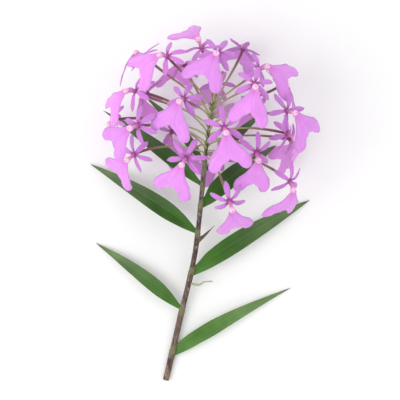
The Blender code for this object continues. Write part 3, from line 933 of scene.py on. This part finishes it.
def add_node(tree, kind, inputs=None, stops=None, out=0, **settings):
    """Adds a node with its settings, its inputs as values or links, and a ramp's stops.

    Gives back the output with this number, or nothing where the node has none.
    """
    node = tree.nodes.new("ShaderNode" + kind)
    for name, value in settings.items():
        setattr(node, name, value)
    for socket, value in (inputs or {}).items():
        if isinstance(value, bpy.types.NodeSocket):
            tree.links.new(value, node.inputs[socket])
        elif node.inputs[socket].type == "RGBA":
            node.inputs[socket].default_value = (*value, 1.0)
        else:
            node.inputs[socket].default_value = value
    if stops:
        elements = node.color_ramp.elements
        while len(elements) < len(stops):
            elements.new(0.5)
        for element, (position, value) in zip(elements, stops):
            element.position = position
            element.color = (*value, 1.0) if isinstance(value, tuple) else (value, value, value, 1.0)
    return node.outputs[out] if node.outputs else None


def per_metre(millimetres):
    """The texture scale that gives a pattern this size."""
    return 1 / (millimetres * MM)


def new_material(name):
    """An empty material, its node tree, where a point lies, and the values held at each point."""
    material = bpy.data.materials.new(name)
    material.use_nodes = True
    tree = material.node_tree
    tree.nodes.clear()
    place = add_node(tree, "TexCoord", out=3)
    held = {value: add_node(tree, "Attribute", out=2, attribute_name=value) for value in POINT_VALUES}
    return material, tree, place, held


def glazed(tree, body, colour, factor, stops):
    """Lays a colour over the body as strongly as a ramp of the factor says."""
    mask = add_node(tree, "ValToRGB", {0: factor}, stops)
    return add_node(tree, "Mix", {0: mask, 6: body, 7: colour}, out=2, data_type="RGBA")


def drawn_out(tree, held, lines, rows):
    """Noise drawn out along a blade or tube, so that it runs in fine lines from root to tip."""
    across = add_node(tree, "Math", {0: held["across"], 1: lines}, operation="MULTIPLY")
    along = add_node(tree, "Math", {0: held["along"], 1: rows}, operation="MULTIPLY")
    own = add_node(tree, "Math", {0: held["tint"], 1: 37.0}, operation="MULTIPLY")
    place = add_node(tree, "CombineXYZ", {0: across, 1: along, 2: own})
    return add_node(tree, "TexNoise", {"Vector": place, "Scale": 1.0, "Detail": 2.5})


def varied(tree, body, factor, darkest, lightest):
    """Makes the body darker and lighter by a factor that wanders about a half."""
    ends = {"From Min": 0.3, "From Max": 0.7, "To Min": darkest, "To Max": lightest}
    value = add_node(tree, "MapRange", {"Value": factor, **ends})
    return add_node(tree, "HueSaturation", {"Value": value, "Color": body})


def petal_flesh(name, colours, vein_lines, back):
    """Petal flesh, grown thin: light passes into it, veins show faintly, its cells give a velvet bloom, and a
    darker line round its margin is painted shade.
    """
    material, tree, place, held = new_material(name)
    streak = drawn_out(tree, held, vein_lines, 1.6)
    body = add_node(tree, "ValToRGB", {0: held["along"]}, colours["along"])
    body = glazed(tree, body, colours["vein"], streak, [(0.44, 0.0), (0.66, 0.75)])
    blotch = add_node(tree, "TexNoise", {"Vector": place, "Scale": per_metre(5), "Detail": 3.0})
    body = glazed(tree, body, colours["blotch"], blotch, [(0.35, 0.0), (0.75, 0.4)])
    body = varied(tree, body, blotch, 1.03, 0.9)
    # Painted shade: a thin darker line laid along the margin and round the tip, where the rim looks shaded
    body = glazed(tree, body, colours["edge"], held["edge"], [(0.8, 0.0), (0.95, 0.85)])
    if back:
        body = add_node(tree, "Mix", {0: back, 6: body, 7: colours["back"]}, out=2, data_type="RGBA")
    light = add_node(tree, "MapRange", {"Value": held["tint"], "To Min": 0.95, "To Max": 1.05})
    hue = add_node(tree, "MapRange", {"Value": held["tint"], "To Min": 0.492, "To Max": 0.508})
    body = add_node(tree, "HueSaturation", {"Hue": hue, "Value": light, "Color": body})
    cells = add_node(tree, "TexNoise", {"Vector": place, "Scale": per_metre(0.6), "Detail": 2.0})
    veins = add_node(tree, "Bump", {"Height": streak, "Distance": 0.35 * MM, "Strength": 0.5})
    grain = {"Height": cells, "Distance": 0.12 * MM, "Strength": 0.35, "Normal": veins}
    bloom = add_node(tree, "Bump", grain)
    surface = {
        "Base Color": body,
        "Roughness": 0.52,
        "Normal": bloom,
        "IOR": 1.42,
        "Subsurface Weight": 0.4,
        "Subsurface Radius": (1.0, 0.55, 0.95),
        "Subsurface Scale": 1.5 * MM,
        "Sheen Weight": 0.12,
        "Sheen Roughness": 0.5,
        "Specular IOR Level": 0.3,
    }
    add_node(tree, "OutputMaterial", {"Surface": add_node(tree, "BsdfPrincipled", surface)})
    return material


@functools.lru_cache(maxsize=None)
def petal_materials():
    """The six finishes of a floret: sepal front and back, lip front and back, column, bead."""
    look = bpy.context.scene.orchid_florets
    junction, tepal_colour = tuple(look.junction_colour), tuple(look.tepal_colour)
    throat, lip_colour = tuple(look.throat_colour), tuple(look.lip_colour)
    tepal = {
        "along": [
            (0.0, junction),
            (0.12, junction),
            (0.28, tepal_colour),
            (0.75, tepal_colour),
            (1.0, tuple(look.tepal_tip_colour)),
        ],
        "vein": linear("#C278CC"),
        "blotch": linear("#E2A0EA"),
        # The edge colour is painted shade along a sepal's margin
        "edge": linear("#BE86C8"),
        "back": linear("#C99BCB"),
    }
    lip = {
        "along": [
            (0.0, throat),
            (0.14, throat),
            (0.32, lip_colour),
            (0.88, lip_colour),
            (1.0, linear("#DF96E6")),
        ],
        "vein": tuple(look.lip_streak_colour),
        "blotch": linear("#EFA2F4"),
        # The edge colour is painted shade along the lip's margin
        "edge": tuple(look.lip_edge_shade_colour),
        "back": linear("#E6AAE8"),
    }
    return (
        petal_flesh("sepal_flesh_front", tepal, 7.0, 0.0),
        petal_flesh("sepal_flesh_back", tepal, 7.0, 0.4),
        petal_flesh("lip_flesh_front", lip, 16.0, 0.0),
        petal_flesh("lip_flesh_back", lip, 16.0, 0.5),
        column_flesh(junction),
        bead_wax(look),
    )


def column_flesh(junction):
    """Firm waxy column tissue: deep magenta at its foot, pinker to its hood."""
    material, tree, place, held = new_material("column_flesh")
    stops = [(0.0, junction), (0.3, junction), (0.55, linear("#CC74B4")), (0.9, linear("#E9A4D8"))]
    body = add_node(tree, "ValToRGB", {0: held["along"]}, stops)
    grain = add_node(tree, "TexNoise", {"Vector": place, "Scale": per_metre(0.9), "Detail": 2.0})
    body = glazed(tree, body, linear("#B0589C"), grain, [(0.4, 0.0), (0.7, 0.4)])
    bump = add_node(tree, "Bump", {"Height": grain, "Distance": 0.12 * MM, "Strength": 0.4})
    surface = {"Base Color": body, "Roughness": 0.38, "Normal": bump, "IOR": 1.42, "Subsurface Weight": 0.1}
    add_node(tree, "OutputMaterial", {"Surface": add_node(tree, "BsdfPrincipled", surface)})
    return material


def bead_wax(look):
    """Waxy callus and anther cap: pale pink and slightly glossy, ringed in a stronger pink."""
    material, tree, place, held = new_material("bead_wax")
    pale, pink = tuple(look.bead_colour), tuple(look.bead_ring_colour)
    stops = [
        (0.0, linear("#D58ABF")),
        (0.08, linear("#DE9ACB")),
        (0.15, pale),
        (0.26, pale),
        (0.32, pink),
        (0.4, pale),
        (0.55, pink),
    ]
    body = add_node(tree, "ValToRGB", {0: held["edge"]}, stops)
    grain = add_node(tree, "TexNoise", {"Vector": place, "Scale": per_metre(0.8), "Detail": 2.0})
    surface = {
        "Base Color": body,
        "Roughness": 0.32,
        "Normal": add_node(tree, "Bump", {"Height": grain, "Distance": 0.1 * MM, "Strength": 0.3}),
        "IOR": 1.44,
        "Subsurface Weight": 0.2,
        "Subsurface Radius": (1.0, 0.5, 0.7),
        "Subsurface Scale": 1.0 * MM,
    }
    add_node(tree, "OutputMaterial", {"Surface": add_node(tree, "BsdfPrincipled", surface)})
    return material


def leaf_cuticle(name, look, under):
    """Leaf blade under a waxy cuticle: soft broad gloss, parallel veins, a pale groove at the midrib."""
    material, tree, place, held = new_material(name)
    off_rib = add_node(tree, "Math", {0: held["across"]}, operation="ABSOLUTE")
    body = add_node(
        tree,
        "Mix",
        {0: held["tint"], 6: tuple(look.dark_green), 7: tuple(look.light_green)},
        out=2,
        data_type="RGBA",
    )
    body = glazed(tree, body, linear("#457E1C"), held["along"], [(0.0, 0.5), (0.3, 0.2), (0.5, 0.0)])
    body = glazed(tree, body, linear("#93A97C"), held["along"], [(0.35, 0.0), (0.95, 0.4)])
    patches = add_node(tree, "TexNoise", {"Vector": place, "Scale": per_metre(16), "Detail": 4.0})
    body = varied(tree, body, patches, 0.82, 1.2)
    veins = drawn_out(tree, held, look.vein_lines, 1.2)
    body = varied(tree, body, veins, 1.14, 0.86)
    body = glazed(tree, body, linear("#8FAE66"), off_rib, [(0.0, 0.32), (0.03, 0.22), (0.065, 0.0)])
    body = glazed(tree, body, linear("#55603A"), off_rib, [(0.93, 0.0), (0.99, 0.5)])
    body = glazed(tree, body, linear("#5B4446"), held["along"], [(0.9, 0.0), (0.985, 0.85)])
    if under:
        body = add_node(tree, "Mix", {0: 0.5, 6: body, 7: linear("#8AA36C")}, out=2, data_type="RGBA")
    speck = add_node(tree, "TexNoise", {"Vector": place, "Scale": per_metre(1.1), "Detail": 3.0})
    ridges = add_node(tree, "Bump", {"Height": veins, "Distance": 0.5 * MM, "Strength": 0.45})
    grain = {"Height": speck, "Distance": 0.12 * MM, "Strength": 0.3, "Normal": ridges}
    bump = add_node(tree, "Bump", grain)
    surface = {
        "Base Color": body,
        "Roughness": add_node(tree, "MapRange", {"Value": speck, "To Min": 0.34, "To Max": 0.54}),
        "Normal": bump,
        "IOR": 1.45,
        "Specular IOR Level": 0.28,
        "Coat Weight": 0.0 if under else 0.04,
        "Coat Roughness": 0.4,
    }
    add_node(tree, "OutputMaterial", {"Surface": add_node(tree, "BsdfPrincipled", surface)})
    return material


def cane_sheath(look):
    """Dry papery sheath over a reed cane: satin, finely ribbed, dark purple-brown with straw at the nodes."""
    material, tree, place, held = new_material("cane_papery_sheath")
    stops = [
        (0.0, linear("#6E5044")),
        (0.16, linear("#66504A")),
        (0.34, linear("#4E3430")),
        (0.55, linear("#3A2628")),
        (0.74, linear("#3C3032")),
        (0.82, linear("#5A5236")),
        (0.93, linear("#7F8A4C")),
    ]
    body = add_node(tree, "ValToRGB", {0: held["along"]}, stops)
    fibres = drawn_out(tree, {**held, "tint": held["across"]}, look.rib_lines, 14.0)
    body = glazed(tree, body, linear("#908272"), fibres, [(0.46, 0.0), (0.68, 0.6)])
    lengthwise = add_node(tree, "Mapping", {"Vector": place, "Scale": (1.0, 0.35, 1.0)})
    stains = add_node(tree, "TexNoise", {"Vector": lengthwise, "Scale": per_metre(3.5), "Detail": 4.0})
    body = glazed(tree, body, linear("#2C1A1C"), stains, [(0.48, 0.0), (0.62, 0.7)])
    flecks = add_node(tree, "TexNoise", {"Vector": lengthwise, "Scale": per_metre(1.3), "Detail": 5.0})
    body = glazed(tree, body, linear("#A89E90"), flecks, [(0.5, 0.0), (0.7, 0.65)])
    straw = add_node(tree, "Math", {0: held["edge"], 1: stains}, operation="MULTIPLY")
    body = glazed(tree, body, linear("#7A7B58"), straw, [(0.18, 0.0), (0.44, 0.85)])
    surface = {
        "Base Color": body,
        "Roughness": add_node(tree, "MapRange", {"Value": fibres, "To Min": 0.48, "To Max": 0.72}),
        "Normal": add_node(tree, "Bump", {"Height": fibres, "Distance": 0.3 * MM, "Strength": 0.5}),
        "IOR": 1.45,
        "Specular IOR Level": 0.3,
    }
    add_node(tree, "OutputMaterial", {"Surface": add_node(tree, "BsdfPrincipled", surface)})
    return material


def cut_pith():
    """The fresh cut across the cane: moist pale fibres, greener to the rim."""
    material, tree, place, held = new_material("cut_cane_pith")
    stops = [(0.0, linear("#A9B07A")), (0.4, linear("#D8D9AE")), (1.0, linear("#E9E6C6"))]
    body = add_node(tree, "ValToRGB", {0: held["edge"]}, stops)
    fibres = add_node(tree, "TexVoronoi", {"Vector": place, "Scale": per_metre(0.5)})
    body = glazed(tree, body, linear("#8D9463"), fibres, [(0.1, 0.55), (0.4, 0.0)])
    bump = add_node(tree, "Bump", {"Height": fibres, "Distance": 0.15 * MM, "Strength": 0.6})
    surface = {"Base Color": body, "Roughness": 0.4, "Normal": bump, "IOR": 1.38}
    add_node(tree, "OutputMaterial", {"Surface": add_node(tree, "BsdfPrincipled", surface)})
    return material


def grown_skin(name, stops, line_colour, lines, rows, roughness, sheer=0.0):
    """A stalk, scale or bud: one colour along it after another, fine lines, the gloss of its skin."""
    material, tree, _, held = new_material(name)
    fine = drawn_out(tree, held, lines, rows)
    body = add_node(tree, "ValToRGB", {0: held["along"]}, [(share, linear(tone)) for share, tone in stops])
    body = glazed(tree, body, linear(line_colour), fine, [(0.43, 0.0), (0.67, 0.45)])
    body = glazed(tree, body, linear("#8C4A78"), held["edge"], [(0.8, 0.0), (0.97, 0.8)])
    surface = {
        "Base Color": body,
        "Roughness": roughness,
        "Normal": add_node(tree, "Bump", {"Height": fine, "Distance": 0.2 * MM, "Strength": 0.45}),
        "IOR": 1.43,
        "Subsurface Weight": sheer,
        "Subsurface Scale": 1.0 * MM,
    }
    add_node(tree, "OutputMaterial", {"Surface": add_node(tree, "BsdfPrincipled", surface)})
    return material


def stalk_flesh():
    """Fleshy flower stalk: pale green at the rachis, purple-brown and slightly glossy by the floret."""
    stops = [(0.0, "#B7C488"), (0.3, "#AEAF7C"), (0.55, "#9A7A68"), (0.8, "#7E4E5C"), (1.0, "#7A3A62")]
    return grown_skin("pedicel_flesh", stops, "#8C6A5C", 7.0, 3.0, 0.42, 0.08)


def bract_paper():
    """A thin dry scale below each stalk: papery and dull, green at its foot and brown to its point."""
    stops = [(0.0, "#8E9A5E"), (0.45, "#8E9A5E"), (0.95, "#7A5A48")]
    return grown_skin("bract_paper", stops, "#6B5A3C", 4.0, 2.0, 0.6)


def shoot_skin():
    """The side shoot's young scales: thin and satin, green at the foot, dull purple to the point."""
    stops = [(0.0, "#6F7446"), (0.3, "#5E4C46"), (0.7, "#665460"), (1.0, "#8E7A86")]
    return grown_skin("young_shoot_scale", stops, "#3E2E32", 8.0, 3.0, 0.5)


def bud_flesh():
    """A closed bud's waxy sepals: green at the foot, mauve to the point, darker at the seams."""
    stops = [(0.0, "#A8AE7C"), (0.25, "#BFA08C"), (0.55, "#C98FC0"), (1.0, "#B878B4")]
    return grown_skin("bud_sepal_flesh", stops, "#E2B4DC", 14.0, 2.0, 0.42, 0.1)


def root_velamen():
    """Velamen, the air root's spongy skin: matt grey-green, with a bare green growing tip."""
    material, tree, place, held = new_material("air_root_velamen")
    tones = ((0.0, "#8F9A78"), (0.6, "#A9B39A"), (0.88, "#9DB07E"), (1.0, "#7E9A4C"))
    stops = [(share, linear(tone)) for share, tone in tones]
    body = add_node(tree, "ValToRGB", {0: held["along"]}, stops)
    sponge = add_node(tree, "TexNoise", {"Vector": place, "Scale": per_metre(0.9), "Detail": 4.0})
    body = glazed(tree, body, linear("#C9CDBB"), sponge, [(0.4, 0.0), (0.7, 0.6)])
    bump = add_node(tree, "Bump", {"Height": sponge, "Distance": 0.2 * MM, "Strength": 0.6})
    surface = {"Base Color": body, "Roughness": 0.75, "Normal": bump, "IOR": 1.4}
    add_node(tree, "OutputMaterial", {"Surface": add_node(tree, "BsdfPrincipled", surface)})
    return material


def matt_paper(colour):
    """White studio paper: even and matt, with a fibre too fine to catch the light."""
    material, tree, place, _ = new_material("white_studio_paper")
    fibre = add_node(tree, "TexNoise", {"Vector": place, "Scale": per_metre(1.5), "Detail": 3.0})
    bump = add_node(tree, "Bump", {"Height": fibre, "Distance": 0.02 * MM, "Strength": 0.2})
    surface = {"Base Color": colour, "Roughness": 0.9, "Normal": bump, "Specular IOR Level": 0.2}
    add_node(tree, "OutputMaterial", {"Surface": add_node(tree, "BsdfPrincipled", surface)})
    return material


# What a user would change


def length(name, description, millimetres):
    return bpy.props.FloatProperty(
        name=name, description=description, default=millimetres * MM, min=0.0, unit="LENGTH", precision=5
    )


def colour(name, description, hex_colour):
    default = linear(hex_colour)
    return bpy.props.FloatVectorProperty(
        name=name, description=description, default=default, size=3, min=0.0, max=1.0, subtype="COLOR"
    )


def number(name, description, default, **limits):
    return bpy.props.FloatProperty(name=name, description=description, default=default, **limits)


class FloretSettings(bpy.types.PropertyGroup):
    """Sizes and colours of the florets and buds."""

    tepal_length: length("Tepal length", "Length of each narrow sepal and petal", 14.2)
    tepal_width: length("Tepal width", "Width of a sepal at its widest", 4.2)
    tepal_thickness: length("Tepal thickness", "Thickness of a sepal at its middle", 0.6)
    lip_length: length("Lip length", "Length of the lip from the bead to the end of its lobes", 24.5)
    lip_spread: length("Lip spread", "How far each lobe's end stands out to its side", 11.0)
    lip_claw_width: length("Lip claw width", "Width of the lip's narrow start at the bead", 4.9)
    lip_lobe_width: length("Lip lobe width", "Width of one lobe of the lip", 9.4)
    lip_thickness: length("Lip thickness", "Thickness of the lip at its middle", 0.62)
    lip_ripple: length("Lip ripple", "Height of the waves along the lip's margin", 0.55)
    lip_colour: colour("Lip", "Main colour of the lip", "#E69AED")
    lip_streak_colour: colour("Lip streaks", "Faint lines that run down the lip", "#D484DE")
    # Colour of the painted shade along the lip's margin
    lip_edge_shade_colour: colour("Lip edge", "Thin darker line round the lip", "#C288CB")
    throat_colour: colour("Throat", "The lip beside the bead", "#E08AD8")
    tepal_colour: colour("Sepals", "Main colour of sepals and petals", "#D083D8")
    tepal_tip_colour: colour("Sepal tips", "Ends of sepals and petals", "#B889BC")
    junction_colour: colour("Junction", "Dark spot where the floret meets its stalk", "#96347F")
    bead_colour: colour("Bead", "Callus and anther cap", "#FAD0EA")
    bead_ring_colour: colour("Bead ring", "Ring round the bead", "#E79CCB")


class LeafSettings(bpy.types.PropertyGroup):
    """Sizes and colours of the leaves."""

    thickness: length("Thickness", "Thickness of a leaf along its midrib", 0.8)
    wave: length("Wave", "Height of the slow waves along a leaf's margins", 0.45)
    vein_lines: number("Vein lines", "Veins in half a leaf's width, about 0.8 mm apart", 9.0, min=1.0)
    dark_green: colour("Dark green", "Blade of the darkest leaf", "#1B3E06")
    light_green: colour("Light green", "Blade of the lightest leaf", "#5A8240")


class CaneSettings(bpy.types.PropertyGroup):
    """The cane's finish."""

    rib_lines: number("Rib lines", "Fine ribs round a sheath, about 0.5 mm apart", 26.0, min=1.0)


class StageSettings(bpy.types.PropertyGroup):
    """The table, the light and the camera."""

    lens: number("Lens", "The camera's focal length in millimetres", 100.0, min=20.0)
    fill: number("Fill", "How much of the picture's height the flower takes", 0.9, subtype="FACTOR")
    table_colour: colour("Table", "The pale floor", "#F6F6F6")
    sky: number("Sky", "Strength of the even light all round", 0.86)
    key: number("Key", "Power of the large soft light in watts", 5.5)


def placed(piece, slot_name, *nodes):
    """Hides the solids that a piece stands for and hangs the piece on the flower. slot_name is not used."""
    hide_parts(*nodes)
    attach(piece, "root")


class ORCHID_OT_florets(bpy.types.Operator):
    """Builds the open florets of the head"""

    bl_idname = "orchid.florets"
    bl_label = "Build Florets"

    def execute(self, context):
        materials = petal_materials()
        for index, (matrix, draft) in enumerate(florets()):
            node = f"floret_{index + 1:02d}"
            placed(draft.finished(f"fine_{node}", matrix, materials), "floret_lilac", node)
        return {"FINISHED"}


class ORCHID_OT_leaves(bpy.types.Operator):
    """Builds the strap-shaped leaves"""

    bl_idname = "orchid.leaves"
    bl_label = "Build Leaves"

    def execute(self, context):
        look = context.scene.orchid_leaves
        sides = {"leaf_cuticle_top": False, "leaf_cuticle_under": True}
        materials = [leaf_cuticle(name, look, under) for name, under in sides.items()]
        rows = [-0.02] + crowded_to_end(70, 1.2)
        for number, (name, leaf) in enumerate(LEAVES.items()):
            side = leaf_side(name)

            def place(u, v):
                point = fine_leaf_point(leaf, number + 1.0, side, look.wave, u, v)
                values = {"along": max(u, 0.0), "across": v, "tint": leaf[7]}
                return point, {**values, "thin": 1 - 0.55 * abs(v) ** 1.5}

            draft = Draft()
            draft.add_blade([(rows, both_ways(9, -side), place)], look.thickness, 0)
            matrix = to_table()
            matrix = Matrix.Translation((0, 0, max(0.0, -draft.lowest(matrix)))) @ matrix
            placed(draft.finished(f"fine_{name}", matrix, materials), "leaf_green", name)
        return {"FINISHED"}


class ORCHID_OT_cane(bpy.types.Operator):
    """Builds the cane, the flower stalks, the side shoot and the air root"""

    bl_idname = "orchid.cane"
    bl_label = "Build Cane"

    def execute(self, context):
        sheath = cane_sheath(context.scene.orchid_cane)
        bract = bract_paper()
        parts = {
            "fine_cane": (cane_draft(), (sheath, cut_pith())),
            "flower_stalks": (stalks_draft(), (stalk_flesh(), bract, bract)),
            "side_shoot": (shoot_draft(), (shoot_skin(),)),
            "air_root": (root_draft(), (root_velamen(),)),
        }
        for name, (draft, materials) in parts.items():
            placed(draft.finished(name, Matrix.Identity(4), materials), "cane_purple_brown", "cane")
        return {"FINISHED"}


class ORCHID_OT_buds(bpy.types.Operator):
    """Builds the unopened buds at the tip of the head"""

    bl_idname = "orchid.buds"
    bl_label = "Build Buds"

    def execute(self, context):
        material = bud_flesh()
        for index, matrix in enumerate(bud_frames()):
            node = f"bud_{index + 1}"
            piece = bud_draft(index).finished(f"fine_{node}", to_table() @ matrix, (material,))
            placed(piece, "bud_pink_green", node)
        return {"FINISHED"}


class ORCHID_OT_stage(bpy.types.Operator):
    """Sets the pale table, the soft studio light and the camera that looks straight down"""

    bl_idname = "orchid.stage"
    bl_label = "Set Stage"

    def execute(self, context):
        scene = context.scene
        look = scene.orchid_stage
        set_table(look)
        set_light(scene, look)
        set_camera(scene, look)
        scene.view_settings.view_transform = "Standard"
        return {"FINISHED"}


def set_table(look):
    mesh = bpy.data.meshes.new("table")
    corners = [(x * TABLE_REACH, y * TABLE_REACH, 0) for x, y in ((-1, -1), (1, -1), (1, 1), (-1, 1))]
    mesh.from_pydata(corners, [], [(0, 1, 2, 3)])
    mesh.materials.append(matt_paper(tuple(look.table_colour)))
    table = bpy.data.objects.new("table", mesh)
    bpy.context.scene.collection.objects.link(table)


def set_light(scene, look):
    """Light from all round, a large soft box above to the left and a weaker one opposite."""
    world = bpy.data.worlds.new("studio")
    world.use_nodes = True
    sky = world.node_tree.nodes["Background"]
    sky.inputs["Color"].default_value = (1.0, 1.0, 1.0, 1.0)
    sky.inputs["Strength"].default_value = look.sky
    scene.world = world
    lamps = ("key", (-0.7, -0.2, 1.0), 0.9, 1.0), ("fill", (0.8, 0.5, 0.9), 1.2, 0.35)
    for name, spot, size, share in lamps:
        light = bpy.data.lights.new(name, "AREA")
        light.shape = "DISK"
        light.size = size
        light.energy = look.key * share
        lamp = bpy.data.objects.new(name, light)
        lamp.location = spot
        lamp.rotation_euler = (LIGHT_AIM - Vector(spot)).to_track_quat("-Z", "Y").to_euler()
        scene.collection.objects.link(lamp)


def set_camera(scene, look):
    """Straight above, so far up that the cut end and the head's top are equally near the frame."""
    low, high = (Vector(corner) for corner in CAD_BOX)
    data = bpy.data.cameras.new("camera")
    data.lens = look.lens
    half_frame = look.fill * data.sensor_width / 2 / data.lens
    head_height = (low.z + high.z) / 2
    span = high.y - low.y
    height = (span / half_frame + head_height) / 2
    middle_y = high.y - half_frame * (height - head_height)
    camera = bpy.data.objects.new("camera", data)
    camera.location = ((low.x + high.x) / 2, middle_y, height)
    data.clip_start = 0.05
    data.clip_end = 20.0
    scene.collection.objects.link(camera)
    scene.camera = camera


class ORCHID_PT_panel(bpy.types.Panel):
    """Lists the flower's sizes, colours and build steps"""

    bl_idname = "ORCHID_PT_panel"
    bl_label = "Epidendrum Orchid"
    bl_space_type = "VIEW_3D"
    bl_region_type = "UI"
    bl_category = "Orchid"

    def draw(self, context):
        for step in BUILD_STEPS:
            self.layout.operator(step.bl_idname)
        for group in SETTINGS:
            box = self.layout.box()
            settings = getattr(context.scene, group)
            for name in settings.__annotations__:
                box.prop(settings, name)


BUILD_STEPS = (ORCHID_OT_stage, ORCHID_OT_florets, ORCHID_OT_leaves, ORCHID_OT_cane, ORCHID_OT_buds)
SETTINGS = {
    "orchid_florets": FloretSettings,
    "orchid_leaves": LeafSettings,
    "orchid_cane": CaneSettings,
    "orchid_stage": StageSettings,
}


def register():
    for group, kind in SETTINGS.items():
        bpy.utils.register_class(kind)
        setattr(bpy.types.Scene, group, bpy.props.PointerProperty(type=kind))
    for kind in (*BUILD_STEPS, ORCHID_PT_panel):
        bpy.utils.register_class(kind)


def unregister():
    for kind in (ORCHID_PT_panel, *BUILD_STEPS):
        bpy.utils.unregister_class(kind)
    for group, kind in SETTINGS.items():
        delattr(bpy.types.Scene, group)
        bpy.utils.unregister_class(kind)


def main():
    register()
    bpy.ops.orchid.stage()
    bpy.ops.orchid.florets()
    bpy.ops.orchid.leaves()
    bpy.ops.orchid.cane()
    bpy.ops.orchid.buds()


if __name__ == "__main__":
    main()
